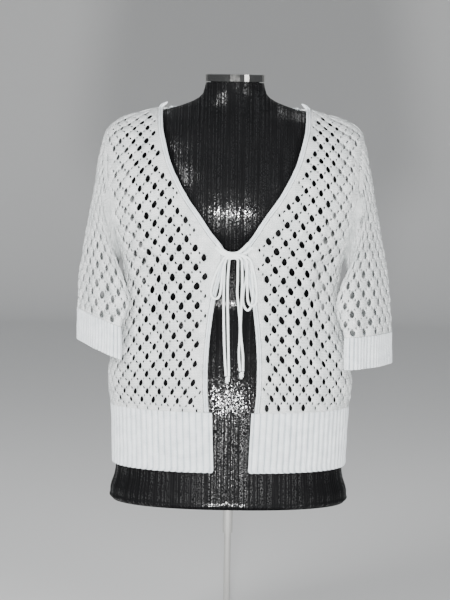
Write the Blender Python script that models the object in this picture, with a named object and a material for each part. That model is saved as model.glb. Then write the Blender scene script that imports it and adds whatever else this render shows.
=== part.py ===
"""Open-knit cardigan with elbow sleeves and a tied front, on a limbless dress form with a stand.

Metres, +Z up, front towards -Y, origin at the middle of the base's underside. The wearer's left side is +X.
"""

import math
from collections import namedtuple

import bmesh
import bpy
from mathutils import Vector

WALL = 0.0025
SEAM_GAP = 0.0003
ARMHOLE_GAP = 0.0005
CUFF_GAP = 0.0006
SIDE_ANGLE = math.radians(90)
BACK_ANGLE = math.radians(180)

HEM_BOTTOM = 0.281
HEM_TOP = 0.3755
UNDERARM = 0.610
SHOULDER_TIP = 0.803
NECK_POINT = 0.846
BACK_NECK = 0.834
ARMHOLE_HALF_ANGLE = math.radians(18.5)

RIB_HEIGHT = 0.0013
FRONT_RIBS = 26
BACK_RIBS = 58
CUFF_RIBS = 40
CUFF_LENGTH = 0.051

BAND_HALF_WIDTH = 0.0037
BAND_HALF_THICKNESS = 0.0025
BAND_SIDES = 8

CORD_DIAMETER = 0.0038
CORD_STEP = 0.0115
TAIL_KNOT_HALF = Vector((0.0052, 0.0042, 0.0055))
BOW_KNOT_LOW = Vector((-0.0185, -0.1355, 0.6136))
BOW_KNOT_HIGH = Vector((0.0334, -0.1240, 0.6256))
BOW_KNOT_ROUND = 0.0040

CAP_RADIUS = 0.0480
CAP_BOTTOM = 0.8873
CAP_TOP = 0.9005
TORSO_BOTTOM = 0.2208
POLE_RADIUS = 0.0055
COLLAR_RADIUS = 0.0080
COLLAR_BOTTOM = 0.1650
BASE_RADIUS = 0.150
BASE_THICKNESS = 0.008

Section = namedtuple("Section", "height half_width front back squareness")
# The garment's outside at each height, from its middle line.
WORN = [
    Section(0.270, 0.1860, 0.1205, 0.1175, 2.30),
    Section(0.280, 0.1865, 0.1210, 0.1180, 2.30),
    Section(0.372, 0.1900, 0.1220, 0.1200, 2.30),
    Section(0.410, 0.1945, 0.1215, 0.1190, 2.30),
    Section(0.435, 0.1930, 0.1205, 0.1150, 2.30),
    Section(0.460, 0.1870, 0.1195, 0.1110, 2.30),
    Section(0.500, 0.1765, 0.1180, 0.1040, 2.35),
    Section(0.550, 0.1700, 0.1175, 0.0980, 2.50),
    Section(0.600, 0.1740, 0.1200, 0.1000, 2.70),
    Section(0.650, 0.1880, 0.1250, 0.1040, 3.00),
    Section(0.700, 0.2000, 0.1265, 0.1080, 3.20),
    Section(0.740, 0.2055, 0.1200, 0.1080, 3.00),
    Section(0.770, 0.2070, 0.1090, 0.1030, 2.70),
    Section(0.803, 0.2050, 0.0920, 0.0920, 2.20),
    Section(0.816, 0.1970, 0.0830, 0.0850, 1.95),
    Section(0.827, 0.1830, 0.0740, 0.0780, 1.70),
    Section(0.834, 0.1650, 0.0690, 0.0730, 1.55),
    Section(0.840, 0.1417, 0.0640, 0.0680, 1.40),
    Section(0.846, 0.1220, 0.0580, 0.0620, 1.30),
    Section(0.855, 0.0920, 0.0500, 0.0540, 1.25),
    Section(0.864, 0.0620, 0.0400, 0.0450, 1.25),
]
# The dress form's outside at each height.
FORM = [
    Section(0.2208, 0.1860, 0.1100, 0.1150, 2.30),
    Section(0.226, 0.1895, 0.1140, 0.1180, 2.30),
    Section(0.236, 0.1900, 0.1150, 0.1180, 2.30),
    Section(0.262, 0.1830, 0.1150, 0.1140, 2.30),
    Section(0.280, 0.1810, 0.1150, 0.1120, 2.30),
    Section(0.372, 0.1845, 0.1160, 0.1140, 2.30),
    Section(0.410, 0.1850, 0.1130, 0.1110, 2.30),
    Section(0.450, 0.1710, 0.1070, 0.1020, 2.30),
    Section(0.500, 0.1500, 0.0980, 0.0880, 2.30),
    Section(0.550, 0.1340, 0.0900, 0.0780, 2.30),
    Section(0.585, 0.1310, 0.0900, 0.0760, 2.30),
    Section(0.620, 0.1370, 0.0970, 0.0800, 2.35),
    Section(0.660, 0.1490, 0.1110, 0.0860, 2.40),
    Section(0.690, 0.1560, 0.1160, 0.0900, 2.40),
    Section(0.720, 0.1620, 0.1120, 0.0930, 2.40),
    Section(0.750, 0.1670, 0.1010, 0.0930, 2.35),
    Section(0.780, 0.1710, 0.0870, 0.0880, 2.20),
    Section(0.803, 0.1720, 0.0770, 0.0810, 2.00),
    Section(0.818, 0.1670, 0.0690, 0.0750, 1.80),
    Section(0.827, 0.1580, 0.0645, 0.0700, 1.65),
    Section(0.8345, 0.1360, 0.0605, 0.0645, 1.50),
    Section(0.8400, 0.1180, 0.0572, 0.0605, 1.45),
    Section(0.8447, 0.1030, 0.0546, 0.0575, 1.45),
    Section(0.8497, 0.0870, 0.0520, 0.0550, 1.55),
    Section(0.855, 0.0725, 0.0495, 0.0525, 1.75),
    Section(0.8615, 0.0590, 0.0470, 0.0500, 2.00),
    Section(0.870, 0.0505, 0.0455, 0.0485, 2.00),
    Section(0.887, 0.0460, 0.0450, 0.0470, 2.00),
]

Edge = namedtuple("Edge", "height reach")
# How far a front panel's inner edge lies from the middle of the opening.
FRONT_EDGE = [
    Edge(0.27, 0.0405),
    Edge(0.374, 0.0432),
    Edge(0.41, 0.0458),
    Edge(0.445, 0.0461),
    Edge(0.48, 0.0445),
    Edge(0.516, 0.0410),
    Edge(0.548, 0.0365),
    Edge(0.585, 0.0285),
    Edge(0.619, 0.0205),
    Edge(0.6545, 0.0418),
    Edge(0.679, 0.0579),
    Edge(0.705, 0.0763),
    Edge(0.7345, 0.0928),
    Edge(0.7614, 0.1050),
    Edge(0.787, 0.1125),
    Edge(0.8138, 0.1187),
    Edge(0.835, 0.1206),
    Edge(0.846, 0.1212),
    Edge(0.866, 0.1214),
]
OPENING_CENTRE = 0.003
HEM_EDGE_BOTTOM = 0.0270
HEM_EDGE_TOP = 0.0308

Fold = namedtuple("Fold", "angle low high depth half_width")
# Soft upright troughs in the hanging cloth.
FOLDS = [
    Fold(-53.0, 0.430, 0.640, 0.0060, 7.0),
    Fold(-28.0, 0.430, 0.590, 0.0025, 6.0),
    Fold(63.0, 0.430, 0.640, 0.0060, 7.0),
    Fold(34.0, 0.430, 0.590, 0.0025, 6.0),
    Fold(128.0, 0.430, 0.650, 0.0045, 8.0),
    Fold(163.0, 0.430, 0.600, 0.0030, 9.0),
    Fold(-151.0, 0.430, 0.620, 0.0035, 9.0),
    Fold(-120.0, 0.430, 0.650, 0.0045, 8.0),
]
FOLD_FADE = 0.035

Station = namedtuple("Station", "share outer_x outer_z inner_x inner_z half_depth blend")
# Where each ring of a sleeve crosses its outer and inner lines, from the armhole to the cuff's top.
STATIONS = [
    Station(0.09, 0.2135, 0.7740, 0.1815, 0.6040, 0.0665, 0.45),
    Station(0.20, 0.2190, 0.7400, 0.1835, 0.5950, 0.0695, 0.80),
    Station(0.34, 0.2240, 0.6990, 0.1815, 0.5830, 0.0710, 1.00),
    Station(0.48, 0.2280, 0.6570, 0.1780, 0.5690, 0.0710, 1.00),
    Station(0.62, 0.2310, 0.6130, 0.1750, 0.5530, 0.0700, 1.00),
    Station(0.76, 0.2332, 0.5690, 0.1770, 0.5360, 0.0685, 1.00),
    Station(0.89, 0.2347, 0.5340, 0.1835, 0.5200, 0.0675, 1.00),
    Station(1.00, 0.2350, 0.5085, 0.1900, 0.5060, 0.0665, 1.00),
]
SLEEVE_SIDES = 26
SLEEVE_TURN = math.radians(26)
SLEEVE_FORWARD = 0.030
SLEEVE_SQUARENESS = 2.3
CREASE_ANGLE = math.radians(48)
CREASE_HALF_WIDTH = math.radians(13)
CREASE_DEPTH = 0.13

Arm = namedtuple("Arm", "name side spread drop tip lift")
# Each sleeve's own stance: how far the cuff stands out and hangs down, how far its front tips down,
# and how far its outer edge is drawn up.
ARMS = [
    Arm("left", 1, 0.0090, 0.0140, 0.000, 0.000),
    Arm("right", -1, -0.0040, 0.0000, 0.007, 0.013),
]

Finish = namedtuple("Finish", "colour roughness metallic")
KNIT = Finish((0.78, 0.80, 0.80), 0.90, 0.0)
CORD = Finish((0.82, 0.83, 0.82), 0.85, 0.0)
COVER = Finish((0.010, 0.010, 0.011), 0.60, 0.0)
CHROME = Finish((0.75, 0.75, 0.77), 0.12, 1.0)
STEEL = Finish((0.10, 0.10, 0.11), 0.35, 1.0)

# Route points of the cords: X, Y and Z.
LEFT_LOOP_OUTER = [
    (0.0293, -0.1317, 0.6130),
    (0.0314, -0.1317, 0.6046),
    (0.0355, -0.1317, 0.5886),
    (0.0382, -0.1317, 0.5706),
    (0.0382, -0.1317, 0.5546),
    (0.0365, -0.1317, 0.5468),
    (0.0317, -0.1317, 0.5442),
    (0.0267, -0.1317, 0.5476),
    (0.0245, -0.1317, 0.5566),
    (0.0238, -0.1317, 0.5746),
    (0.0234, -0.1317, 0.5946),
    (0.0228, -0.1317, 0.6130),
]
LEFT_LOOP_INNER = [
    (0.0284, -0.1265, 0.6130),
    (0.0298, -0.1265, 0.6006),
    (0.0319, -0.1263, 0.5796),
    (0.0327, -0.1261, 0.5596),
    (0.0308, -0.1261, 0.5446),
    (0.0257, -0.1261, 0.5368),
    (0.0204, -0.1263, 0.5408),
    (0.0173, -0.1265, 0.5516),
    (0.0183, -0.1265, 0.5686),
    (0.0214, -0.1265, 0.5846),
    (0.0220, -0.1265, 0.5996),
    (0.0214, -0.1265, 0.6130),
]
RIGHT_LOOP = [
    (-0.0154, -0.1315, 0.6130),
    (-0.0211, -0.1315, 0.6026),
    (-0.0265, -0.1315, 0.5901),
    (-0.0308, -0.1313, 0.5746),
    (-0.0321, -0.1311, 0.5636),
    (-0.0296, -0.1311, 0.5566),
    (-0.0243, -0.1311, 0.5542),
    (-0.0191, -0.1313, 0.5586),
    (-0.0169, -0.1315, 0.5696),
    (-0.0156, -0.1315, 0.5866),
    (-0.0136, -0.1315, 0.6016),
    (-0.0101, -0.1315, 0.6130),
]
RIGHT_TAIL_OUTER = [
    (-0.0113, -0.1265, 0.6130),
    (-0.0123, -0.1267, 0.5836),
    (-0.0123, -0.1269, 0.5525),
    (-0.0115, -0.1271, 0.5163),
    (-0.0101, -0.1273, 0.4801),
    (-0.0080, -0.1273, 0.4490),
    (-0.0066, -0.1273, 0.4343),
]
RIGHT_TAIL_INNER = [
    (-0.0049, -0.1265, 0.6130),
    (-0.0064, -0.1267, 0.5836),
    (-0.0062, -0.1269, 0.5525),
    (-0.0051, -0.1271, 0.5163),
    (-0.0039, -0.1273, 0.4801),
    (-0.0027, -0.1273, 0.4490),
    (-0.0023, -0.1273, 0.4343),
]
LEFT_TAIL_INNER = [
    (0.0088, -0.1265, 0.6130),
    (0.0089, -0.1265, 0.5836),
    (0.0085, -0.1267, 0.5629),
    (0.0115, -0.1269, 0.5370),
    (0.0138, -0.1271, 0.5059),
    (0.0127, -0.1273, 0.4697),
    (0.0148, -0.1273, 0.4423),
]
LEFT_TAIL_OUTER = [
    (0.0150, -0.1315, 0.6130),
    (0.0160, -0.1317, 0.5836),
    (0.0156, -0.1319, 0.5577),
    (0.0146, -0.1319, 0.5266),
    (0.0150, -0.1319, 0.5008),
    (0.0187, -0.1305, 0.4676),
    (0.0193, -0.1277, 0.4423),
]
RIGHT_TAIL_KNOT = Vector((-0.0044, -0.1273, 0.4285))
LEFT_TAIL_KNOT = Vector((0.0171, -0.1275, 0.4360))


def smooth_value(rows, column, height):
    """A table's column at a height, on a curve that never overshoots its rows."""
    last = len(rows) - 2
    i = min(max(sum(height > row.height for row in rows) - 1, 0), last)
    span = rows[i + 1].height - rows[i].height
    slopes = []
    for k in (i, i + 1):
        before = slope_between(rows, column, k - 1) if k > 0 else slope_between(rows, column, 0)
        after = slope_between(rows, column, k) if k <= last else slope_between(rows, column, last)
        slopes.append(2 * before * after / (before + after) if before * after > 0 else 0.0)
    t = (height - rows[i].height) / span
    start = getattr(rows[i], column)
    end = getattr(rows[i + 1], column)
    return (
        start * (1 + 2 * t) * (1 - t) ** 2
        + end * (3 - 2 * t) * t * t
        + span * (slopes[0] * t * (1 - t) ** 2 - slopes[1] * t * t * (1 - t))
    )


def slope_between(rows, column, i):
    rise = getattr(rows[i + 1], column) - getattr(rows[i], column)
    return rise / (rows[i + 1].height - rows[i].height)


def ease(value, low, high):
    """0 below low, 1 above high, and a soft step between."""
    t = min(max((value - low) / (high - low), 0.0), 1.0)
    return t * t * (3 - 2 * t)


def fold_depth(angle, height):
    """How far the folds draw the cloth in."""
    depth = 0.0
    for fold in FOLDS:
        turn = math.remainder(angle - math.radians(fold.angle), 2 * math.pi)
        across = math.exp(-((turn / math.radians(fold.half_width)) ** 2))
        rise = ease(height, fold.low, fold.low + FOLD_FADE)
        fall = 1 - ease(height, fold.high - FOLD_FADE, fold.high)
        depth += fold.depth * across * rise * fall
    return depth


def section_point(rows, angle, height, drawn_in=0.0):
    """A point of a body whose level sections are rounded ovals; angle 0 is the front, 90 degrees is +X."""
    across = abs(math.sin(angle)) / smooth_value(rows, "half_width", height)
    depth = "front" if math.cos(angle) > 0 else "back"
    along = abs(math.cos(angle)) / smooth_value(rows, depth, height)
    power = smooth_value(rows, "squareness", height)
    radius = (across**power + along**power) ** (-1 / power) - drawn_in
    return Vector((radius * math.sin(angle), -radius * math.cos(angle), height))


def worn(angle, height):
    return section_point(WORN, angle, height, fold_depth(angle, height))


def worn_normal(angle, height):
    """The way out of the cloth, averaged over a few millimetres."""
    turn = math.radians(4)
    rise = 0.004
    along = worn(angle + turn, height) - worn(angle - turn, height)
    up = worn(angle, height + rise) - worn(angle, height - rise)
    return along.cross(up).normalized()


def worn_angle(reach, height):
    """The angle on the front where the cloth is that far from the middle plane."""
    low, high = 0.0, SIDE_ANGLE
    for _ in range(40):
        middle = (low + high) / 2
        if worn(middle, height).x < reach:
            low = middle
        else:
            high = middle
    return (low + high) / 2


def even_angles(start, end, height, steps):
    """Angles that part the cloth's girth at a height into equal lengths."""
    fine = steps * 4
    angles = [start + (end - start) * i / fine for i in range(fine + 1)]
    points = [worn(a, height) for a in angles]
    lengths = [0.0]
    for a, b in zip(points, points[1:]):
        lengths.append(lengths[-1] + (b - a).length)
    result = []
    for k in range(steps + 1):
        target = lengths[-1] * k / steps
        i = min(max(sum(target > x for x in lengths) - 1, 0), fine - 1)
        share = (target - lengths[i]) / (lengths[i + 1] - lengths[i])
        result.append(angles[i] + (angles[i + 1] - angles[i]) * share)
    return result


def gap_angle(height):
    """Half a seam's gap as an angle at the side."""
    return SEAM_GAP / 2 / smooth_value(WORN, "half_width", height)


def front_edge_angle(side, height, table=FRONT_EDGE):
    reach = smooth_value(table, "reach", height)
    middle = OPENING_CENTRE * (1 - ease(height, UNDERARM, UNDERARM + 0.06))
    return worn_angle(reach + side * middle, height)


def hem_edge_angle(side, height):
    share = (height - HEM_BOTTOM) / (HEM_TOP - HEM_BOTTOM)
    reach = HEM_EDGE_BOTTOM + (HEM_EDGE_TOP - HEM_EDGE_BOTTOM) * share
    return worn_angle(reach + side * OPENING_CENTRE, height)


def armhole_height(turn):
    """The armhole's height at a turn round it: 0 at the shoulder, half a turn under the arm."""
    return (SHOULDER_TIP + UNDERARM) / 2 + (SHOULDER_TIP - UNDERARM) / 2 * math.cos(turn)


def armhole_half_angle(height):
    """How far the armhole's seam lies from the side at a height."""
    lift = (2 * height - SHOULDER_TIP - UNDERARM) / (SHOULDER_TIP - UNDERARM)
    return ARMHOLE_HALF_ANGLE * math.sqrt(max(0.0, 1 - lift * lift))


def side_edge(height):
    """How far a panel's side edge lies from the side: a seam's gap, or the armhole."""
    return gap_angle(height) + (armhole_half_angle(height) if UNDERARM < height < SHOULDER_TIP else 0)


def panel_heights(below=9, around=8, above=3):
    """Row heights from the hem rib to the neck: even below, closer at the armhole's two ends."""
    start = HEM_TOP + SEAM_GAP / 2
    rows = [start + (UNDERARM - start) * i / below for i in range(below)]
    rows += [armhole_height(math.pi * (1 - i / around)) for i in range(around)]
    rows += [SHOULDER_TIP + (NECK_POINT - SHOULDER_TIP) * i / above for i in range(above + 1)]
    return rows


def new_object(name, mesh, finish):
    material = bpy.data.materials.new(name)
    material.use_nodes = True
    shader = material.node_tree.nodes["Principled BSDF"]
    shader.inputs["Base Color"].default_value = (*finish.colour, 1)
    shader.inputs["Roughness"].default_value = finish.roughness
    shader.inputs["Metallic"].default_value = finish.metallic
    mesh.materials.append(material)
    created = bpy.data.objects.new(name, mesh)
    bpy.context.scene.collection.objects.link(created)
    return created


def mesh_object(name, points, faces, finish, sharp=math.radians(40)):
    mesh = bpy.data.meshes.new(name)
    mesh.from_pydata([tuple(p) for p in points], [], faces)
    mesh.shade_smooth()
    mesh.set_sharp_from_angle(angle=sharp)
    return new_object(name, mesh, finish)


def cloth_wall(name, outer, inner, finish, around=False):
    """A closed wall of cloth between two grids of points, rows upwards and columns anticlockwise from above."""
    rows, columns = len(outer), len(outer[0])
    points = [p for row in outer for p in row] + [p for row in inner for p in row]
    back = rows * columns
    faces = []

    def at(row, column, layer=0):
        return layer * back + row * columns + column % columns

    cells = columns if around else columns - 1
    for r in range(rows - 1):
        for c in range(cells):
            faces.append((at(r, c), at(r, c + 1), at(r + 1, c + 1), at(r + 1, c)))
            faces.append((at(r + 1, c, 1), at(r + 1, c + 1, 1), at(r, c + 1, 1), at(r, c, 1)))
    top = rows - 1
    for c in range(cells):
        faces.append((at(0, c, 1), at(0, c + 1, 1), at(0, c + 1), at(0, c)))
        faces.append((at(top, c), at(top, c + 1), at(top, c + 1, 1), at(top, c, 1)))
    if not around:
        last = columns - 1
        for r in range(top):
            faces.append((at(r, 0, 1), at(r, 0), at(r + 1, 0), at(r + 1, 0, 1)))
            faces.append((at(r, last), at(r, last, 1), at(r + 1, last, 1), at(r + 1, last)))
    return mesh_object(name, points, faces, finish)


def worn_panel(name, rows, raised=0.0, finish=KNIT):
    """A panel of the worn surface from rows of (angle, height); raised ribs stand on every second column."""
    outer = []
    inner = []
    for row in rows:
        out = [worn_normal(a, h) for a, h in row]
        lift = [raised * (c % 2) - raised / 2 for c in range(len(row))]
        outer.append([worn(a, h) + n * up for (a, h), n, up in zip(row, out, lift)])
        inner.append([worn(a, h) - n * WALL for (a, h), n in zip(row, out)])
    return cloth_wall(name, outer, inner, finish)


def front_panel(arm):
    rows = []
    for height in panel_heights():
        start = front_edge_angle(arm.side, height)
        end = SIDE_ANGLE - side_edge(height)
        angles = even_angles(start, end, height, 10)
        rows.append([(a * arm.side, height) for a in angles][:: arm.side])
    worn_panel(f"front_{arm.name}", rows)


def back_neck_height(angle):
    return BACK_NECK + (NECK_POINT - BACK_NECK) * math.sin(angle) ** 2


def back_angles(height):
    """The back panel's columns at a height, from its left side edge to its right one."""
    edge = side_edge(height)
    return even_angles(SIDE_ANGLE + edge, 3 * SIDE_ANGLE - edge, height, 20)


def back_panel():
    rows = []
    for height in panel_heights():
        angles = back_angles(height)
        share = max(0.0, (height - SHOULDER_TIP) / (NECK_POINT - SHOULDER_TIP))
        drop = [share * (NECK_POINT - back_neck_height(a)) for a in angles]
        rows.append([(a, height - d) for a, d in zip(angles, drop)])
    worn_panel("back_panel", rows)


def hem_ribs():
    heights = [HEM_BOTTOM, (HEM_BOTTOM + HEM_TOP) / 2, HEM_TOP - SEAM_GAP / 2]
    for arm in ARMS:
        rows = []
        for height in heights:
            start = hem_edge_angle(arm.side, height)
            angles = even_angles(start, SIDE_ANGLE - gap_angle(height), height, 2 * FRONT_RIBS)
            rows.append([(a * arm.side, height) for a in angles][:: arm.side])
        worn_panel(f"hem_front_{arm.name}", rows, RIB_HEIGHT)
    rows = []
    for height in heights:
        edge = gap_angle(height)
        angles = even_angles(SIDE_ANGLE + edge, 3 * SIDE_ANGLE - edge, height, 2 * BACK_RIBS)
        rows.append([(a, height) for a in angles])
    worn_panel("hem_back", rows, RIB_HEIGHT)


def armhole_point(turn):
    """A point of the armhole on the +X side, set clear of the panels; a quarter turn is its front."""
    height = armhole_height(turn)
    angle = SIDE_ANGLE - ARMHOLE_HALF_ANGLE * math.sin(turn)
    return worn(angle, height) + Vector((ARMHOLE_GAP, 0, 0))


def ring_point(arm, station, turn):
    """A point of a sleeve's free ring; turn 0 is its outer line, and a quarter turn is its front."""
    spread = arm.spread * station.share
    drop = arm.drop * station.share
    lift = arm.lift * station.share
    outer = Vector((station.outer_x + spread, 0, station.outer_z - drop + lift))
    inner = Vector((station.inner_x + spread * 0.4, 0, station.inner_z - drop))
    crease = math.exp(-(((turn - CREASE_ANGLE) / CREASE_HALF_WIDTH) ** 2)) * CREASE_DEPTH * station.share
    power = SLEEVE_SQUARENESS
    c, s = math.cos(turn), math.sin(turn)
    radius = (abs(c) ** power + abs(s) ** power) ** (-1 / power) * (1 - crease)
    swing = SLEEVE_TURN * ease(station.share, 0.1, 0.8)
    forward = Vector((-math.sin(swing), -math.cos(swing), 0)) * station.half_depth
    forward.z = -arm.tip * station.share
    middle = (outer + inner) / 2 - Vector((0, SLEEVE_FORWARD * ease(station.share, 0.1, 1.0), 0))
    return middle + (outer - inner) / 2 * c * radius + forward * s * radius


def sleeve_rings(arm, sides):
    """Rings of a sleeve's outside on the +X side, from the armhole to the cuff's top."""
    turns = [2 * math.pi * k / sides for k in range(sides)]
    loop = [armhole_point(t) for t in turns]
    rings = [loop]
    for station in STATIONS:
        free = [ring_point(arm, station, t) for t in turns]
        rings.append([a.lerp(b, station.blend) for a, b in zip(loop, free)])
    return rings


def ring_normals(rings):
    """The way out of a tube at each point of its rings."""
    count = len(rings[0])
    result = []
    for r, ring in enumerate(rings):
        above = rings[max(r - 1, 0)]
        below = rings[min(r + 1, len(rings) - 1)]
        row = []
        for c in range(count):
            along = ring[(c + 1) % count] - ring[c - 1]
            down = below[c] - above[c]
            row.append(along.cross(down).normalized())
        result.append(row)
    return result


def armhole_normals(ring):
    """The way out of the armhole's loop, level with its own plane, so that the sleeve's edge stays off the panels."""
    count = len(ring)
    along = [ring[(c + 1) % count] - ring[c - 1] for c in range(count)]
    return [Vector((0, -a.z, a.y)).normalized() for a in along]


def facing_out(ring, normals):
    """The normals, turned round where they point to the ring's middle."""
    middle = sum(ring, Vector()) / len(ring)
    return [n if (p - middle).dot(n) > 0 else -n for p, n in zip(ring, normals)]


def mirrored(rows, side):
    """Rows of a +X tube put on its own side, with columns anticlockwise from above and rows upwards."""
    placed = [[Vector((p.x * side, p.y, p.z)) for p in row] for row in reversed(rows)]
    return [row[::-side] for row in placed]


def sleeve(arm):
    rings = sleeve_rings(arm, SLEEVE_SIDES)
    normals = ring_normals(rings)
    normals[0] = armhole_normals(rings[0])
    normals = [facing_out(ring, row) for ring, row in zip(rings, normals)]
    inner = [[p - n * WALL for p, n in zip(ring, row)] for ring, row in zip(rings, normals)]
    cloth_wall(f"sleeve_{arm.name}", mirrored(rings, arm.side), mirrored(inner, arm.side), KNIT, around=True)


def cuff(arm):
    columns = 2 * CUFF_RIBS
    last = STATIONS[-1]
    turns = [2 * math.pi * k / columns for k in range(columns)]
    rings = []
    for low in (CUFF_GAP, CUFF_LENGTH / 2, CUFF_LENGTH):
        rings.append([ring_point(arm, last, t) - Vector((0, 0, low)) for t in turns])
    normals = [facing_out(rings[0], row) for row in ring_normals(rings)]
    outer = []
    inner = []
    for ring, row in zip(rings, normals):
        outer.append([p + n * RIB_HEIGHT * (c % 2 - 0.5) for c, (p, n) in enumerate(zip(ring, row))])
        inner.append([p - n * WALL for p, n in zip(ring, row)])
    cloth_wall(f"cuff_{arm.name}", mirrored(outer, arm.side), mirrored(inner, arm.side), KNIT, around=True)


def swept_strip(name, middles, sideways, outwards, finish):
    """A rounded strip along its middle points."""
    points = []
    for middle, side, out in zip(middles, sideways, outwards):
        for k in range(BAND_SIDES):
            turn = 2 * math.pi * k / BAND_SIDES
            across = side * BAND_HALF_WIDTH * math.cos(turn)
            points.append(middle + across + out * BAND_HALF_THICKNESS * math.sin(turn))
    faces = [tuple(range(BAND_SIDES)), tuple(range(len(points) - 1, len(points) - 1 - BAND_SIDES, -1))]
    for i in range(len(middles) - 1):
        for k in range(BAND_SIDES):
            a = i * BAND_SIDES + k
            b = i * BAND_SIDES + (k + 1) % BAND_SIDES
            faces.append((b, a, a + BAND_SIDES, b + BAND_SIDES))
    strip = mesh_object(name, points, faces, finish, sharp=math.radians(60))
    recalculate(strip.data)
    return strip


def recalculate(mesh):
    shape = bmesh.new()
    shape.from_mesh(mesh)
    bmesh.ops.recalc_face_normals(shape, faces=shape.faces)
    shape.to_mesh(mesh)
    shape.free()


def edge_strip(name, edge, finish=KNIT):
    """A band beside an edge of the cloth given as (angle, height), on the open side of the edge."""
    points = [worn(a, h) for a, h in edge]
    out = [worn_normal(a, h) for a, h in edge]
    sideways = []
    for i, normal in enumerate(out):
        along = points[min(i + 1, len(points) - 1)] - points[max(i - 1, 0)]
        sideways.append(normal.cross(along).normalized())
    reach = BAND_HALF_WIDTH + SEAM_GAP
    middles = [p + s * reach - n * WALL / 2 for p, s, n in zip(points, sideways, out)]
    return swept_strip(name, middles, sideways, out, finish)


def bands():
    heights = panel_heights()
    for arm in ARMS:
        order = heights[:: arm.side]
        edge = [(front_edge_angle(arm.side, h) * arm.side, h) for h in order]
        edge_strip(f"band_{arm.name}", edge)
    edge_strip("band_back_neck", [(a, back_neck_height(a)) for a in back_angles(NECK_POINT)[1:-1]])


def smooth_route(points, step):
    """Points at even steps on a smooth curve through a route's own points."""
    ends = [2 * points[0] - points[1], *points, 2 * points[-1] - points[-2]]
    fine = []
    for a, b, c, d in zip(ends, ends[1:], ends[2:], ends[3:]):
        for i in range(24):
            t = i / 24
            bend = (2 * a - 5 * b + 4 * c - d) * t * t + (3 * b - a - 3 * c + d) * t**3
            fine.append(b + ((c - a) * t + bend) / 2)
    fine.append(points[-1])
    lengths = [0.0]
    for a, b in zip(fine, fine[1:]):
        lengths.append(lengths[-1] + (b - a).length)
    count = max(2, round(lengths[-1] / step))
    result = []
    for k in range(count + 1):
        target = lengths[-1] * k / count
        i = min(max(sum(target > x for x in lengths) - 1, 0), len(fine) - 2)
        share = (target - lengths[i]) / (lengths[i + 1] - lengths[i])
        result.append(fine[i].lerp(fine[i + 1], share))
    return result


def cord(name, route):
    points = smooth_route([Vector(p) for p in route], CORD_STEP)
    curve = bpy.data.curves.new(name, "CURVE")
    curve.dimensions = "3D"
    curve.bevel_depth = CORD_DIAMETER / 2
    curve.bevel_resolution = 2
    curve.use_fill_caps = True
    spline = curve.splines.new("POLY")
    spline.points.add(len(points) - 1)
    for place, point in zip(spline.points, points):
        place.co = (*point, 1)
    new_object(name, curve, CORD)


def rounded_lump(name, low, high, radius, finish):
    """The bow's knot: a block with its edges well rounded."""
    shape = bmesh.new()
    bmesh.ops.create_cube(shape, size=1)
    size = high - low
    middle = (high + low) / 2
    for vertex in shape.verts:
        vertex.co = middle + Vector((vertex.co.x * size.x, vertex.co.y * size.y, vertex.co.z * size.z))
    bmesh.ops.bevel(shape, geom=shape.edges[:], offset=radius, segments=2, affect="EDGES", profile=0.5)
    mesh = bpy.data.meshes.new(name)
    shape.to_mesh(mesh)
    shape.free()
    mesh.shade_smooth()
    return new_object(name, mesh, finish)


def round_knot(name, middle, half):
    shape = bmesh.new()
    bmesh.ops.create_uvsphere(shape, u_segments=12, v_segments=8, radius=1)
    for vertex in shape.verts:
        vertex.co = middle + Vector((vertex.co.x * half.x, vertex.co.y * half.y, vertex.co.z * half.z))
    mesh = bpy.data.meshes.new(name)
    shape.to_mesh(mesh)
    shape.free()
    mesh.shade_smooth()
    return new_object(name, mesh, CORD)


def bow():
    rounded_lump("tie_knot", BOW_KNOT_LOW, BOW_KNOT_HIGH, BOW_KNOT_ROUND, CORD)
    cord("tie_loop_left_outer", LEFT_LOOP_OUTER)
    cord("tie_loop_left_inner", LEFT_LOOP_INNER)
    cord("tie_loop_right", RIGHT_LOOP)
    cord("tie_tail_right_outer", RIGHT_TAIL_OUTER)
    cord("tie_tail_right_inner", RIGHT_TAIL_INNER)
    cord("tie_tail_left_inner", LEFT_TAIL_INNER)
    cord("tie_tail_left_outer", LEFT_TAIL_OUTER)
    round_knot("tail_knot_right", RIGHT_TAIL_KNOT, TAIL_KNOT_HALF)
    round_knot("tail_knot_left", LEFT_TAIL_KNOT, TAIL_KNOT_HALF)


def torso():
    """The dress form: rings of its own sections, closed at the bottom and under the cap."""
    sides = 36
    heights = [row.height for row in FORM]
    points = []
    for height in heights:
        points += [section_point(FORM, 2 * math.pi * k / sides, height) for k in range(sides)]
    faces = []
    for r in range(len(heights) - 1):
        for k in range(sides):
            a = r * sides + k
            b = r * sides + (k + 1) % sides
            faces.append((a, b, b + sides, a + sides))
    faces.append(tuple(range(sides - 1, -1, -1)))
    faces.append(tuple(range(len(points) - sides, len(points))))
    return mesh_object("form_torso", points, faces, COVER)


def turned(name, profile, finish, sides=40):
    """A round solid about the Z axis from (radius, height) pairs, bottom to top."""
    points = []
    for radius, height in profile:
        for k in range(sides):
            turn = 2 * math.pi * k / sides
            points.append((radius * math.cos(turn), radius * math.sin(turn), height))
    faces = [tuple(range(sides - 1, -1, -1)), tuple(range(len(points) - sides, len(points)))]
    for r in range(len(profile) - 1):
        for k in range(sides):
            a = r * sides + k
            b = r * sides + (k + 1) % sides
            faces.append((a, b, b + sides, a + sides))
    return mesh_object(name, points, faces, finish, sharp=math.radians(30))


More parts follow.
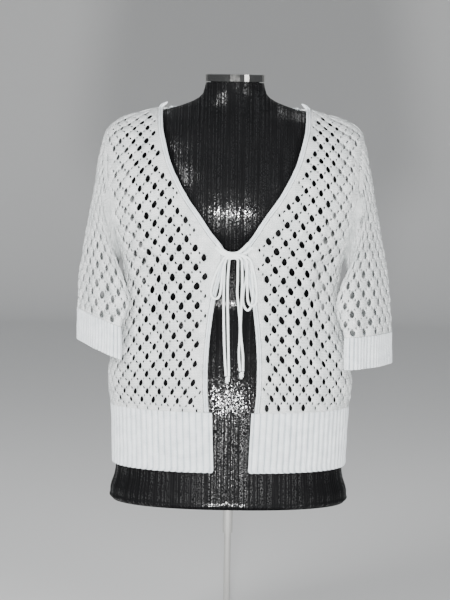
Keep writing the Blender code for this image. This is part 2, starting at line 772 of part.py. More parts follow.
def stand():
    edge = 0.0012
    cap = [
        (CAP_RADIUS - edge, CAP_BOTTOM),
        (CAP_RADIUS, CAP_BOTTOM + edge),
        (CAP_RADIUS, CAP_TOP - edge),
        (CAP_RADIUS - edge, CAP_TOP),
    ]
    turned("neck_cap", cap, CHROME)
    pole_top = COLLAR_BOTTOM - SEAM_GAP
    turned("pole", [(POLE_RADIUS, BASE_THICKNESS + SEAM_GAP), (POLE_RADIUS, pole_top)], CHROME, 20)
    collar_top = TORSO_BOTTOM - SEAM_GAP
    turned("pole_collar", [(COLLAR_RADIUS, COLLAR_BOTTOM), (COLLAR_RADIUS, collar_top)], CHROME, 20)
    base = [
        (BASE_RADIUS, 0.0),
        (BASE_RADIUS, BASE_THICKNESS - edge),
        (BASE_RADIUS - edge, BASE_THICKNESS),
    ]
    turned("base", base, STEEL, 64)


def build():
    for existing in list(bpy.data.objects):
        bpy.data.objects.remove(existing, do_unlink=True)
    torso()
    stand()
    back_panel()
    for arm in ARMS:
        front_panel(arm)
        sleeve(arm)
        cuff(arm)
    hem_ribs()
    bands()
    bow()


build()
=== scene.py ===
"""The look of the open-knit cardigan on its dress form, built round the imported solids.

Metres, +Z up, front towards -Y. The cloth is laid out flat, cut, and then put round the form.
"""

import math

import bpy
import numpy as np
from mathutils import Matrix, Vector, kdtree, noise
from mathutils.geometry import delaunay_2d_cdt


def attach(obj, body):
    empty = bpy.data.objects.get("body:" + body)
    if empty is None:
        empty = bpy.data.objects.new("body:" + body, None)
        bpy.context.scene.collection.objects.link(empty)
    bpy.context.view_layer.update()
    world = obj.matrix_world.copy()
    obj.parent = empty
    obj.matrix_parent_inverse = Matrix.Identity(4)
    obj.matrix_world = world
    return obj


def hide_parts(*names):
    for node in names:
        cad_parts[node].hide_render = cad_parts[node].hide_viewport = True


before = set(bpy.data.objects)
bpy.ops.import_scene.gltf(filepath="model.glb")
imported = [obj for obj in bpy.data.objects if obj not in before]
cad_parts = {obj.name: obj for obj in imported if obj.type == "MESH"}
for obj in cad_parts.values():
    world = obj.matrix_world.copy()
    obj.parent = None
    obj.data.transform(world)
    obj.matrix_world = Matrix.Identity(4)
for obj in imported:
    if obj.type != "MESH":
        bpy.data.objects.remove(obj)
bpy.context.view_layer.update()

DEGREE = math.pi / 180
WALL = 0.0025
SEAM_GAP = 0.0003
HEM_BOTTOM = 0.281
HEM_TOP = 0.3755
UNDERARM = 0.610
SHOULDER_TIP = 0.803
NECK_POINT = 0.846
BACK_NECK = 0.834
ARMHOLE_HALF_ANGLE = 18.5 * DEGREE
OPENING_CENTRE = 0.003
HEM_EDGE_BOTTOM = 0.0270
HEM_EDGE_TOP = 0.0308
BAND_HALF_WIDTH = 0.0037
BAND_HALF_THICKNESS = 0.0025
CUFF_LENGTH = 0.051
CORD_DIAMETER = 0.0038
BOW_MIDDLE = 0.0015
SLEEVE_TURN = 26 * DEGREE
SLEEVE_FORWARD = 0.030
SLEEVE_SQUARENESS = 2.3
FOLD_END = 0.035
CREASE_ANGLE = 48 * DEGREE
CREASE_HALF_WIDTH = 13 * DEGREE
CREASE_DEPTH = 0.13
# How far the garment lies from the middle at its side seams, and at its front at the hem.
SIDE_REACH = 0.19
FRONT_REACH = 0.13
# Panels stop this much short of the hem's and the neck's lines, and this angle short of a side seam.
TRIM = 0.0002
SEAM_ANGLE = SEAM_GAP / 2 / SIDE_REACH
# A front or back is measured at this many rows, up to this angle, and keeps its width in the flat at one row.
PANEL_ROWS = 220
PANEL_REACH = 96 * DEGREE
PANEL_REFERENCE_ROW = 110
SLEEVE_REFERENCE_ROW = 18
# Ribs of each band, the steps each is drawn in, and the width of one in the cloth coordinates.
FRONT_RIBS = 22
BACK_RIBS = 50
CUFF_RIBS = 40
RIB_STEPS = 10
RIB_PITCH = 0.010
HEM_CORNER = 0.005
# Margins without large eyelets: at a hem or sleeve seam, at a side or cuff, at an armhole or back neck,
# and at a shoulder or sleeve top.
HEM_MARGIN = 0.007
SIDE_MARGIN = 0.006
ARMHOLE_MARGIN = 0.010
SHOULDER_MARGIN = 0.009

# Height, half width, front, back and squareness of the garment's outside.
WORN = [
    (0.270, 0.1860, 0.1205, 0.1175, 2.30), (0.280, 0.1865, 0.1210, 0.1180, 2.30),
    (0.372, 0.1900, 0.1220, 0.1200, 2.30), (0.410, 0.1945, 0.1215, 0.1190, 2.30),
    (0.435, 0.1930, 0.1205, 0.1150, 2.30), (0.460, 0.1870, 0.1195, 0.1110, 2.30),
    (0.500, 0.1765, 0.1180, 0.1040, 2.35), (0.550, 0.1700, 0.1175, 0.0980, 2.50),
    (0.600, 0.1740, 0.1200, 0.1000, 2.70), (0.650, 0.1880, 0.1250, 0.1040, 3.00),
    (0.700, 0.2000, 0.1265, 0.1080, 3.20), (0.740, 0.2055, 0.1200, 0.1080, 3.00),
    (0.770, 0.2070, 0.1090, 0.1030, 2.70), (0.803, 0.2050, 0.0920, 0.0920, 2.20),
    (0.816, 0.1970, 0.0830, 0.0850, 1.95), (0.827, 0.1830, 0.0740, 0.0780, 1.70),
    (0.834, 0.1650, 0.0690, 0.0730, 1.55), (0.840, 0.1417, 0.0640, 0.0680, 1.40),
    (0.846, 0.1220, 0.0580, 0.0620, 1.30), (0.855, 0.0920, 0.0500, 0.0540, 1.25),
    (0.864, 0.0620, 0.0400, 0.0450, 1.25),
]
# The same for the dress form.
FORM = [
    (0.2208, 0.1860, 0.1100, 0.1150, 2.30), (0.226, 0.1895, 0.1140, 0.1180, 2.30),
    (0.236, 0.1900, 0.1150, 0.1180, 2.30), (0.262, 0.1830, 0.1150, 0.1140, 2.30),
    (0.280, 0.1810, 0.1150, 0.1120, 2.30), (0.372, 0.1845, 0.1160, 0.1140, 2.30),
    (0.410, 0.1850, 0.1130, 0.1110, 2.30), (0.450, 0.1710, 0.1070, 0.1020, 2.30),
    (0.500, 0.1500, 0.0980, 0.0880, 2.30), (0.550, 0.1340, 0.0900, 0.0780, 2.30),
    (0.585, 0.1310, 0.0900, 0.0760, 2.30), (0.620, 0.1370, 0.0970, 0.0800, 2.35),
    (0.660, 0.1490, 0.1110, 0.0860, 2.40), (0.690, 0.1560, 0.1160, 0.0900, 2.40),
    (0.720, 0.1620, 0.1120, 0.0930, 2.40), (0.750, 0.1670, 0.1010, 0.0930, 2.35),
    (0.780, 0.1710, 0.0870, 0.0880, 2.20), (0.803, 0.1720, 0.0770, 0.0810, 2.00),
    (0.818, 0.1670, 0.0690, 0.0750, 1.80), (0.827, 0.1580, 0.0645, 0.0700, 1.65),
    (0.8345, 0.1360, 0.0605, 0.0645, 1.50), (0.8400, 0.1180, 0.0572, 0.0605, 1.45),
    (0.8447, 0.1030, 0.0546, 0.0575, 1.45), (0.8497, 0.0870, 0.0520, 0.0550, 1.55),
    (0.855, 0.0725, 0.0495, 0.0525, 1.75), (0.8615, 0.0590, 0.0470, 0.0500, 2.00),
    (0.870, 0.0505, 0.0455, 0.0485, 2.00), (0.887, 0.0460, 0.0450, 0.0470, 2.00),
]
# Height of a front's inner edge, and how far it lies from the middle.
FRONT_EDGE = [
    (0.27, 0.0405), (0.374, 0.0432), (0.41, 0.0458), (0.445, 0.0461),
    (0.48, 0.0445), (0.516, 0.0410), (0.548, 0.0365), (0.585, 0.0285),
    (0.619, 0.0205), (0.6545, 0.0418), (0.679, 0.0579), (0.705, 0.0763),
    (0.7345, 0.0928), (0.7614, 0.1050), (0.787, 0.1125), (0.8138, 0.1187),
    (0.835, 0.1206), (0.846, 0.1212), (0.866, 0.1214),
]
# Angle, low and high end, depth and half width in degrees of the soft troughs.
FOLDS = [
    (-53.0, 0.430, 0.640, 0.0060, 7.0), (-28.0, 0.430, 0.590, 0.0025, 6.0),
    (63.0, 0.430, 0.640, 0.0060, 7.0), (34.0, 0.430, 0.590, 0.0025, 6.0),
    (128.0, 0.430, 0.650, 0.0045, 8.0), (163.0, 0.430, 0.600, 0.0030, 9.0),
    (-151.0, 0.430, 0.620, 0.0035, 9.0), (-120.0, 0.430, 0.650, 0.0045, 8.0),
]
# Share of a sleeve's length, outer x and z, inner x and z, half depth and blend.
STATIONS = [
    (0.09, 0.2135, 0.7740, 0.1815, 0.6040, 0.0665, 0.45),
    (0.20, 0.2190, 0.7400, 0.1835, 0.5950, 0.0695, 0.80),
    (0.34, 0.2240, 0.6990, 0.1815, 0.5830, 0.0710, 1.00),
    (0.48, 0.2280, 0.6570, 0.1780, 0.5690, 0.0710, 1.00),
    (0.62, 0.2310, 0.6130, 0.1750, 0.5530, 0.0700, 1.00),
    (0.76, 0.2332, 0.5690, 0.1770, 0.5360, 0.0685, 1.00),
    (0.89, 0.2347, 0.5340, 0.1835, 0.5200, 0.0675, 1.00),
    (1.00, 0.2350, 0.5085, 0.1900, 0.5060, 0.0665, 1.00),
]
# Start, end, depth and half width of each crease on the +X side; the other side has the same.
CREASES = [
    ((0.190, -0.062, 0.622), (0.148, -0.102, 0.652), 0.0040, 0.0055),
    ((0.178, -0.060, 0.628), (0.118, -0.118, 0.668), 0.0030, 0.0075),
    ((0.176, -0.055, 0.604), (0.110, -0.112, 0.612), 0.0028, 0.0070),
    ((0.178, -0.050, 0.580), (0.132, -0.104, 0.548), 0.0024, 0.0070),
    ((0.196, -0.040, 0.760), (0.172, -0.088, 0.700), 0.0020, 0.0080),
    ((0.176, 0.050, 0.624), (0.118, 0.095, 0.664), 0.0028, 0.0080),
    ((0.174, 0.050, 0.596), (0.115, 0.090, 0.584), 0.0026, 0.0080),
]
# Name, side, spread, drop, tip and lift of each sleeve.
ARMS = [("left", 1, 0.0090, 0.0140, 0.000, 0.000), ("right", -1, -0.0040, 0.0000, 0.007, 0.013)]
# Points along each cord, from the bow outwards.
ROUTES = {
    "tie_loop_left_outer": [
        (0.0293, -0.1317, 0.6130), (0.0314, -0.1317, 0.6046), (0.0355, -0.1317, 0.5886),
        (0.0382, -0.1317, 0.5706), (0.0382, -0.1317, 0.5546), (0.0365, -0.1317, 0.5468),
        (0.0317, -0.1317, 0.5442), (0.0267, -0.1317, 0.5476), (0.0245, -0.1317, 0.5566),
        (0.0238, -0.1317, 0.5746), (0.0234, -0.1317, 0.5946), (0.0228, -0.1317, 0.6130),
    ],
    "tie_loop_left_inner": [
        (0.0284, -0.1265, 0.6130), (0.0298, -0.1265, 0.6006), (0.0319, -0.1263, 0.5796),
        (0.0327, -0.1261, 0.5596), (0.0308, -0.1261, 0.5446), (0.0257, -0.1261, 0.5368),
        (0.0204, -0.1263, 0.5408), (0.0173, -0.1265, 0.5516), (0.0183, -0.1265, 0.5686),
        (0.0214, -0.1265, 0.5846), (0.0220, -0.1265, 0.5996), (0.0214, -0.1265, 0.6130),
    ],
    "tie_loop_right": [
        (-0.0154, -0.1315, 0.6130), (-0.0211, -0.1315, 0.6026), (-0.0265, -0.1315, 0.5901),
        (-0.0308, -0.1313, 0.5746), (-0.0321, -0.1311, 0.5636), (-0.0296, -0.1311, 0.5566),
        (-0.0243, -0.1311, 0.5542), (-0.0191, -0.1313, 0.5586), (-0.0169, -0.1315, 0.5696),
        (-0.0156, -0.1315, 0.5866), (-0.0136, -0.1315, 0.6016), (-0.0101, -0.1315, 0.6130),
    ],
    "tie_tail_right_outer": [
        (-0.0113, -0.1265, 0.6130), (-0.0123, -0.1267, 0.5836), (-0.0123, -0.1269, 0.5525),
        (-0.0115, -0.1271, 0.5163), (-0.0101, -0.1273, 0.4801), (-0.0080, -0.1273, 0.4490),
        (-0.0066, -0.1273, 0.4343),
    ],
    "tie_tail_right_inner": [
        (-0.0049, -0.1265, 0.6130), (-0.0064, -0.1267, 0.5836), (-0.0062, -0.1269, 0.5525),
        (-0.0051, -0.1271, 0.5163), (-0.0039, -0.1273, 0.4801), (-0.0027, -0.1273, 0.4490),
        (-0.0023, -0.1273, 0.4343),
    ],
    "tie_tail_left_inner": [
        (0.0088, -0.1265, 0.6130), (0.0089, -0.1265, 0.5836), (0.0085, -0.1267, 0.5629),
        (0.0115, -0.1269, 0.5370), (0.0138, -0.1271, 0.5059), (0.0127, -0.1273, 0.4697),
        (0.0148, -0.1273, 0.4423),
    ],
    "tie_tail_left_outer": [
        (0.0150, -0.1315, 0.6130), (0.0160, -0.1317, 0.5836), (0.0156, -0.1319, 0.5577),
        (0.0146, -0.1319, 0.5266), (0.0150, -0.1319, 0.5008), (0.0187, -0.1305, 0.4676),
        (0.0193, -0.1277, 0.4423),
    ],
}
# The middle of each pair of tails' knot.
TAIL_KNOTS = {"right": (-0.0044, -0.1273, 0.4285), "left": (0.0171, -0.1275, 0.4360)}
# The two rolled bridges that close the V under the bow.
UPPER_BRIDGE = [
    (-0.0235, -0.1222, 0.6395), (-0.0172, -0.1256, 0.6312), (-0.0100, -0.1270, 0.6258),
    (0.0000, -0.1276, 0.6238), (0.0095, -0.1270, 0.6256), (0.0165, -0.1258, 0.6312),
    (0.0255, -0.1222, 0.6400),
]
LOWER_BRIDGE = [
    (-0.0262, -0.1222, 0.6330), (-0.0170, -0.1262, 0.6246), (-0.0080, -0.1280, 0.6212),
    (0.0015, -0.1286, 0.6203), (0.0110, -0.1280, 0.6212), (0.0200, -0.1262, 0.6250),
    (0.0320, -0.1222, 0.6345),
]

# A quarter of the lace's repeat, unstretched.
TILE_WIDE = 0.0131
TILE_TALL = 0.0149
# Half width, height above the middle and depth below it of each eyelet by its number: none, a large one,
# and a small one at the lace's edge. Between two of them lies a slit: half width, half length and lean.
EYELETS = [None, (0.0044, 0.0066, 0.0054), (0.0017, 0.0032, 0.0032)]
SLIT = (0.0014, 0.0023, 0.22)
# Points that fill a tile keep out of these rims round its eyelets and its slit, and this far from the others.
EYELET_RIM = 0.0004
SLIT_RIM = (0.0023, 0.0030)
POINT_SPACING = 0.0014
# Points of the lace this close are one, a tile is laid if its middle is no farther outside the outline, and
# an eyelet that lies in the margin by no more than this is a small one.
JOIN_DISTANCE = 0.00008
TILE_REACH = 0.013
SMALL_EYELET_ROOM = 0.006
# The knit rises over this width beside an eyelet, by this much, from this far below the worn surface.
BULGE_WIDTH = 0.0036
LACE_RELIEF = 0.0016
RELIEF_BASE = 0.0008
# Thickness of the lace at an eyelet's rim, how much it gains beside it, and the thickness of the ribs.
RIM_THICKNESS = 0.0009
THICKNESS_GAIN = 0.0014
RIB_THICKNESS = 0.0022
RIB_RELIEF = 0.0018
# How high the drape's unevenness is in the lace and in the ribs, and how long.
LACE_DRAPE = 0.0016
RIB_DRAPE = 0.0010
DRAPE_LENGTH = 0.030
# Factors of the usual sine formula that gives each eyelet its own fixed chance values.
CHANCE_FACTORS = (12.9898, 78.233, 43758.5453)
# Eyelets picked out on each front: how many columns and rows of the lace from its middle eyelet,
# and how far across and up each one lies on the flat front, in millimetres.
SEEN_EYELETS = {
    "left": [
        (-4, -16, 58.2, 7.3), (-4, -6, 41.9, 163.1), (-4, 4, 45.7, 310.5), (-4, 12, 60.9, 405.9),
        (0, -16, 96.2, 8.1), (0, -6, 92.6, 158.5), (0, 4, 97.6, 308.0), (0, 12, 105.5, 410.5),
        (4, -16, 139.2, 6.6), (4, -6, 145.5, 151.6), (4, 4, 148.9, 303.2), (4, 12, 147.2, 412.8),
        (7, -15, 177.5, 16.7), (7, -5, 188.4, 160.1), (7, 5, 187.5, 313.2), (7, 11, 179.7, 399.5),
    ],
    "right": [
        (-2, -18, 62.2, 16.9), (-2, -8, 54.1, 165.7), (-2, 2, 61.9, 313.4), (-2, 10, 68.6, 416.2),
        (2, -18, 102.6, 16.3), (2, -8, 104.1, 161.7), (2, 2, 110.2, 312.9), (2, 10, 107.3, 423.4),
        (5, -19, 132.3, 3.4), (5, -9, 141.4, 141.5), (5, 1, 148.1, 292.6), (5, 9, 140.8, 408.5),
        (8, -18, 164.0, 14.0), (8, -8, 182.4, 147.2), (8, 2, 188.3, 296.5), (8, 10, 173.0, 413.0),
    ],
}


# Shape of the worn cloth and of the form


def column_values(rows, column, heights):
    """A table's column at many heights, on a curve that never overshoots its rows."""
    level = np.array([row[0] for row in rows])
    value = np.array([row[column] for row in rows])
    steep = np.diff(value) / np.diff(level)
    before = np.r_[steep[0], steep]
    after = np.r_[steep, steep[-1]]
    product = before * after
    slope = np.where(product > 0, 2 * product / np.where(product > 0, before + after, 1), 0)
    i = np.clip(np.searchsorted(level, heights) - 1, 0, len(steep) - 1)
    span = level[i + 1] - level[i]
    t = (heights - level[i]) / span
    ends = value[i] * (1 + 2 * t) * (1 - t) ** 2 + value[i + 1] * (3 - 2 * t) * t * t
    return ends + span * (slope[i] * t * (1 - t) ** 2 - slope[i + 1] * t * t * (1 - t))


def ease(value, low, high):
    """0 below low, 1 above high, and smooth between."""
    t = np.clip((value - low) / (high - low), 0, 1)
    return t * t * (3 - 2 * t)


def section_points(rows, angle, height, drawn_in=0.0):
    """Points of a body whose level sections are rounded ovals; angle 0 is the front, a quarter turn is +X."""
    angle, height = np.broadcast_arrays(np.asarray(angle, float), np.asarray(height, float))
    depth = np.where(np.cos(angle) > 0, column_values(rows, 2, height), column_values(rows, 3, height))
    across = np.abs(np.sin(angle)) / column_values(rows, 1, height)
    along = np.abs(np.cos(angle)) / depth
    power = column_values(rows, 4, height)
    radius = (across**power + along**power) ** (-1 / power) - drawn_in
    return np.stack([radius * np.sin(angle), -radius * np.cos(angle), height], -1)


def worn(angle, height):
    """Points of the garment's outside with its troughs."""
    depth = 0.0
    for at, low, high, deep, wide in FOLDS:
        turn = np.remainder(angle - at * DEGREE + math.pi, 2 * math.pi) - math.pi
        up = ease(height, low, low + FOLD_END) * (1 - ease(height, high - FOLD_END, high))
        depth = depth + deep * np.exp(-((turn / (wide * DEGREE)) ** 2)) * up
    return section_points(WORN, angle, height, depth)


def unit(v):
    return v / np.maximum(np.linalg.norm(v, axis=-1, keepdims=True), 1e-12)


def worn_normals(angle, height):
    along = worn(angle + 2 * DEGREE, height) - worn(angle - 2 * DEGREE, height)
    up = worn(angle, height + 0.003) - worn(angle, height - 0.003)
    return unit(np.cross(along, up))


def front_edge_angle(side, height):
    """The angle from the middle at which a front panel ends."""
    height = np.asarray(height, float)
    middle = OPENING_CENTRE * (1 - ease(height, UNDERARM, UNDERARM + 0.06))
    reach = column_values(FRONT_EDGE, 1, height) + side * middle
    return angle_at_reach(reach, height)


def angle_at_reach(reach, height):
    """The angle at which the garment lies that far from the middle, by halving."""
    low = np.zeros_like(height)
    high = np.full_like(height, math.pi / 2)
    for _ in range(34):
        middle = (low + high) / 2
        short = worn(middle, height)[..., 0] < reach
        low = np.where(short, middle, low)
        high = np.where(short, high, middle)
    return (low + high) / 2


def hem_edge_angle(side, height):
    """The angle from the middle at which a front's hem rib ends."""
    share = (height - HEM_BOTTOM) / (HEM_TOP - HEM_BOTTOM)
    reach = HEM_EDGE_BOTTOM + (HEM_EDGE_TOP - HEM_EDGE_BOTTOM) * share
    return angle_at_reach(reach + side * OPENING_CENTRE, height)


def armhole_half_angle(height):
    lift = (2 * height - SHOULDER_TIP - UNDERARM) / (SHOULDER_TIP - UNDERARM)
    return ARMHOLE_HALF_ANGLE * np.sqrt(np.maximum(0.0, 1 - lift * lift))


def back_neck_height(angle):
    return BACK_NECK + (NECK_POINT - BACK_NECK) * np.sin(angle) ** 2


def armhole_points(turn):
    """The armhole's line on the +X side; 0 is its top, and a quarter turn its front."""
    height = (SHOULDER_TIP + UNDERARM) / 2 + (SHOULDER_TIP - UNDERARM) / 2 * np.cos(turn)
    return worn(math.pi / 2 - ARMHOLE_HALF_ANGLE * np.sin(turn), height) + [0.0005, 0, 0]


def ring_points(arm, station, turn):
    """A sleeve's ring on the +X side; turn 0 is its outer line, and a quarter turn is its front."""
    _, side, spread, drop, tip, lift = arm
    share, outer_x, outer_z, inner_x, inner_z, half_depth, _ = station
    outer = np.array([outer_x + spread * share, 0, outer_z - drop * share + lift * share])
    inner = np.array([inner_x + spread * share * 0.4, 0, inner_z - drop * share])
    crease = np.exp(-(((turn - CREASE_ANGLE) / CREASE_HALF_WIDTH) ** 2)) * CREASE_DEPTH * share
    c, s = np.cos(turn)[..., None], np.sin(turn)[..., None]
    power = SLEEVE_SQUARENESS
    radius = (np.abs(c) ** power + np.abs(s) ** power) ** (-1 / power) * (1 - crease[..., None])
    swing = SLEEVE_TURN * ease(share, 0.1, 0.8)
    forward = np.array([-math.sin(swing), -math.cos(swing), 0]) * half_depth
    forward[2] = -tip * share
    middle = (outer + inner) / 2 - np.array([0, SLEEVE_FORWARD * ease(share, 0.1, 1.0), 0])
    return middle + (outer - inner) / 2 * c * radius + forward * s * radius


def smoothed(stations, steps):
    """Places on a smooth curve through stations, with so many steps from each to the next."""
    ends = np.concatenate([2 * stations[:1] - stations[1:2], stations, 2 * stations[-1:] - stations[-2:-1]])
    places = []
    for k in range(len(stations) - 1):
        a, b, c, d = ends[k : k + 4]
        for t in np.arange(steps) / steps:
            bend = (2 * a - 5 * b + 4 * c - d) * t * t + (3 * b - a - 3 * c + d) * t**3
            places.append(b + ((c - a) * t + bend) / 2)
    return np.array(places + [stations[-1]])


def sleeve_grid(arm, turns):
    """Points by turn and by ring from the cuff's top to the armhole, smoothed between the rings."""
    loop = armhole_points(turns)
    rings = [loop]
    for station in STATIONS:
        free = ring_points(arm, station, turns)
        rings.append(loop + (free - loop) * station[6])
    return smoothed(np.array(rings[::-1]), 6).transpose(1, 0, 2)


# Cloth laid out flat


def sample(table, x, y):
    """Values of a table between its cells, at fractional places."""
    x = np.clip(x, 0, table.shape[0] - 1.000001)
    y = np.clip(y, 0, table.shape[1] - 1.000001)
    i, j = x.astype(int), y.astype(int)
    u, v = x - i, y - j
    if table.ndim == 3:
        u, v = u[..., None], v[..., None]
    low = table[i, j] * (1 - u) + table[i + 1, j] * u
    high = table[i, j + 1] * (1 - u) + table[i + 1, j + 1] * u
    return low * (1 - v) + high * v


class Layout:
    """A surface given as a grid of points, and the flat cloth that covers it: across and up, in metres."""

    def __init__(self, points, zero, reference):
        self.points = points
        columns, rows = points.shape[:2]
        steps = np.linalg.norm(np.diff(points, axis=0), axis=2)
        across = np.concatenate([np.zeros((1, rows)), np.cumsum(steps, 0)])
        self.across = across - across[zero]
        steps = np.linalg.norm(np.diff(points, axis=1), axis=2)
        self.up = np.concatenate([np.zeros((columns, 1)), np.cumsum(steps, 1)], 1)
        self.reference = reference
        self.low = self.across.min()
        self.step = 0.001
        s = np.arange(self.low, self.across.max() + self.step, self.step)
        t = np.arange(0, self.up.max() + self.step, self.step)
        index = np.arange(columns, dtype=float)
        self.column_of = np.array([np.interp(s, self.across[:, j], index) for j in range(rows)]).T
        index = np.arange(rows, dtype=float)
        self.row_of = np.array([np.interp(t, self.up[i], index) for i in range(columns)])

    def reference_column(self, s):
        """The column at a distance across, along the one row that keeps its length in the flat."""
        return np.interp(s, self.across[:, self.reference], np.arange(len(self.across)))

    def flat(self, column, row):
        """Flat place of a column and row."""
        s = sample(self.across, column, row)
        return np.stack([s, sample(self.up, self.reference_column(s), row)], -1)

    def grid_place(self, flat):
        """Column and row of flat points."""
        s, t = flat[..., 0], flat[..., 1]
        row = sample(self.row_of, self.reference_column(s), t / self.step)
        return sample(self.column_of, (s - self.low) / self.step, row), row

    def surface(self, flat):
        """Where flat points lie on the worn surface."""
        column, row = self.grid_place(flat)
        return sample(self.points, column, row)


def in_outline(points, outline):
    """Which flat points lie inside a closed outline."""
    inside = np.zeros(len(points), bool)
    x, y = points[:, 0], points[:, 1]
    for (ax, ay), (bx, by) in zip(outline, np.roll(outline, -1, 0)):
        if ay != by:
            crosses = (ay > y) != (by > y)
            inside ^= crosses & (x < ax + (y - ay) * (bx - ax) / (by - ay))
    return inside


def to_outline(points, outline, margins=None):
    """The outline's nearest place to each point, and its distance less the outline's own margin there."""
    best = np.full(len(points), 1e9)
    spare = np.full(len(points), 1e9)
    place = points.copy()
    for k, (a, b) in enumerate(zip(outline, np.roll(outline, -1, 0))):
        along = b - a
        t = np.clip((points - a) @ along / max(along @ along, 1e-12), 0, 1)
        near = a + t[:, None] * along
        far = np.linalg.norm(points - near, axis=1)
        if margins is not None:
            spare = np.minimum(spare, far - margins[k])
        closer = far < best
        best = np.where(closer, far, best)
        place[closer] = near[closer]
    return place, spare


# One tile of the openwork, and how nodes lay tiles


def teardrop(eyelet, turn):
    """A point of an eyelet's rim at a turn: narrow above and wide below."""
    wide, above, below = EYELETS[eyelet]
    c, s = math.cos(turn), math.sin(turn)
    if s >= 0:
        return wide * c * (1 - 0.22 * s), above * s
    return wide * c * (1 + 0.10 * s), below * s


def spaced(a, b, count):
    """Even points from a up to b, without b."""
    return [(a[0] + (b[0] - a[0]) * k / count, a[1] + (b[1] - a[1]) * k / count) for k in range(count)]


def in_oval(p, middle, wide, tall):
    """Whether a point lies in an oval given by its half axes."""
    return ((p[0] - middle[0]) / wide) ** 2 + ((p[1] - middle[1]) / tall) ** 2 < 1


def tile_object(name, first, second, mirror):
    """A quarter of the lace's repeat: quarters of eyelets at two opposite corners and a slit between them."""
    w, h = TILE_WIDE, TILE_TALL
    turns = [k * math.pi / 10 for k in range(1, 5)]
    low = EYELETS[first] or (0, 0, 0)
    high = EYELETS[second] or (0, 0, 0)
    ring = spaced((low[0], 0), (w, 0), 4) + spaced((w, 0), (w, h - high[2]), 4)
    arcs = []
    if second:
        start = len(ring)
        ring.append((w, h - high[2]))
        ring += [(w - teardrop(second, -t)[0], h + teardrop(second, -t)[1]) for t in reversed(turns)]
        arcs.append(set(range(start, len(ring) + 1)))
    ring += spaced((w - high[0], h), (0, h), 4) + spaced((0, h), (0, low[1]), 4)
    if first:
        start = len(ring)
        ring.append((0, low[1]))
        ring += [teardrop(first, t) for t in reversed(turns)]
        arcs.append({0} | set(range(start, len(ring))))
    edges = [(k, (k + 1) % len(ring)) for k in range(len(ring))]
    points = list(ring)
    if first and second:
        start = len(points)
        half_wide, half_tall, lean = SLIT
        s, c = math.sin(lean), math.cos(lean)
        for k in range(8):
            x, y = half_wide * math.cos(k * math.pi / 4), half_tall * math.sin(k * math.pi / 4)
            points.append((w / 2 + x * c + y * s, h / 2 - x * s + y * c))
        edges += [(start + k, start + (k + 1) % 8) for k in range(8)]
        arcs.append(set(range(start, start + 8)))
    fixed = np.array(points)
    for i in range(1, 5):
        for j in range(1, 5):
            p = np.array([w * (i + 0.25 * (j % 2) - 0.125) / 5, h * j / 5])
            if np.linalg.norm(fixed - p, axis=1).min() < POINT_SPACING:
                continue
            if first and in_oval(p, (0, 0), low[0] + EYELET_RIM, low[1] + EYELET_RIM):
                continue
            if second and in_oval(p, (w, h), high[0] + EYELET_RIM, high[2] + EYELET_RIM):
                continue
            if first and second and in_oval(p, (w / 2, h / 2), *SLIT_RIM):
                continue
            points.append(tuple(p))
    # Triangles are found in millimetres
    found = delaunay_2d_cdt([Vector((x * 1000, y * 1000)) for x, y in points], edges, [], 0, 1e-5)
    faces = []
    for face in found[2]:
        corners = {found[3][v][0] for v in face if found[3][v]}
        if not any(corners <= arc for arc in arcs):
            faces.append(tuple(face))
    flat = [(v.x / 1000, v.y / 1000, 0) for v in found[0]]
    if mirror:
        flat = [(w - x, y, 0) for x, y, _ in flat]
        faces = [face[::-1] for face in faces]
    mesh = bpy.data.meshes.new(name)
    mesh.from_pydata(flat, [], faces)
    return bpy.data.objects.new(name, mesh)


def feed(tree, node, **values):
    """Sets a node's inputs by name, or links a socket or another node's first output in use to them."""
    for key, value in values.items():
        plug(tree, node.inputs[key.replace("_", " ")], value)


def plug(tree, socket, value):
    """Gives one input a value or a link."""
    if isinstance(value, bpy.types.Node):
        value = next(out for out in value.outputs if out.enabled)
    if isinstance(value, bpy.types.NodeSocket):
        tree.links.new(value, socket)
    else:
        socket.default_value = value


def add(tree, kind, settings=None, *inputs, **named):
    """Adds a node with its settings, or its operation alone, and its inputs in order and by name."""
    node = tree.nodes.new(kind)
    if isinstance(settings, str):
        settings = {"operation": settings}
    for key, value in (settings or {}).items():
        setattr(node, key, value)
    for socket, value in zip([socket for socket in node.inputs if socket.enabled], inputs):
        plug(tree, socket, value)
    feed(tree, node, **named)
    return node


def lay_tree(tiles):
    """Geometry Nodes: each point's kind says which tile is laid there, and neighbours are joined."""
    tree = bpy.data.node_groups.new("lay_tiles", "GeometryNodeTree")
    for name, kind in (("Geometry", "Geometry"), ("Join distance", "Float"), ("Material", "Material")):
        tree.interface.new_socket(name, in_out="INPUT", socket_type=f"NodeSocket{kind}")
    tree.interface.new_socket("Geometry", in_out="OUTPUT", socket_type="NodeSocketGeometry")
    given = add(tree, "NodeGroupInput").outputs
    kind = add(tree, "GeometryNodeInputNamedAttribute", {"data_type": "INT"}, "kind")
    join = add(tree, "GeometryNodeJoinGeometry")
    for k, tile in enumerate(tiles):
        shape = add(tree, "GeometryNodeObjectInfo", None, tile).outputs["Geometry"]
        same = add(tree, "FunctionNodeCompare", {"data_type": "INT", "operation": "EQUAL"}, kind, k)
        put = add(tree, "GeometryNodeInstanceOnPoints", None, given["Geometry"], same, shape)
        feed(tree, join, Geometry=put)
    real = add(tree, "GeometryNodeRealizeInstances", None, join)
    merge = add(tree, "GeometryNodeMergeByDistance", None, real, Distance=given["Join distance"])
    paint = add(tree, "GeometryNodeSetMaterial", None, merge, Material=given["Material"])
    add(tree, "NodeGroupOutput", None, paint)
    return tree


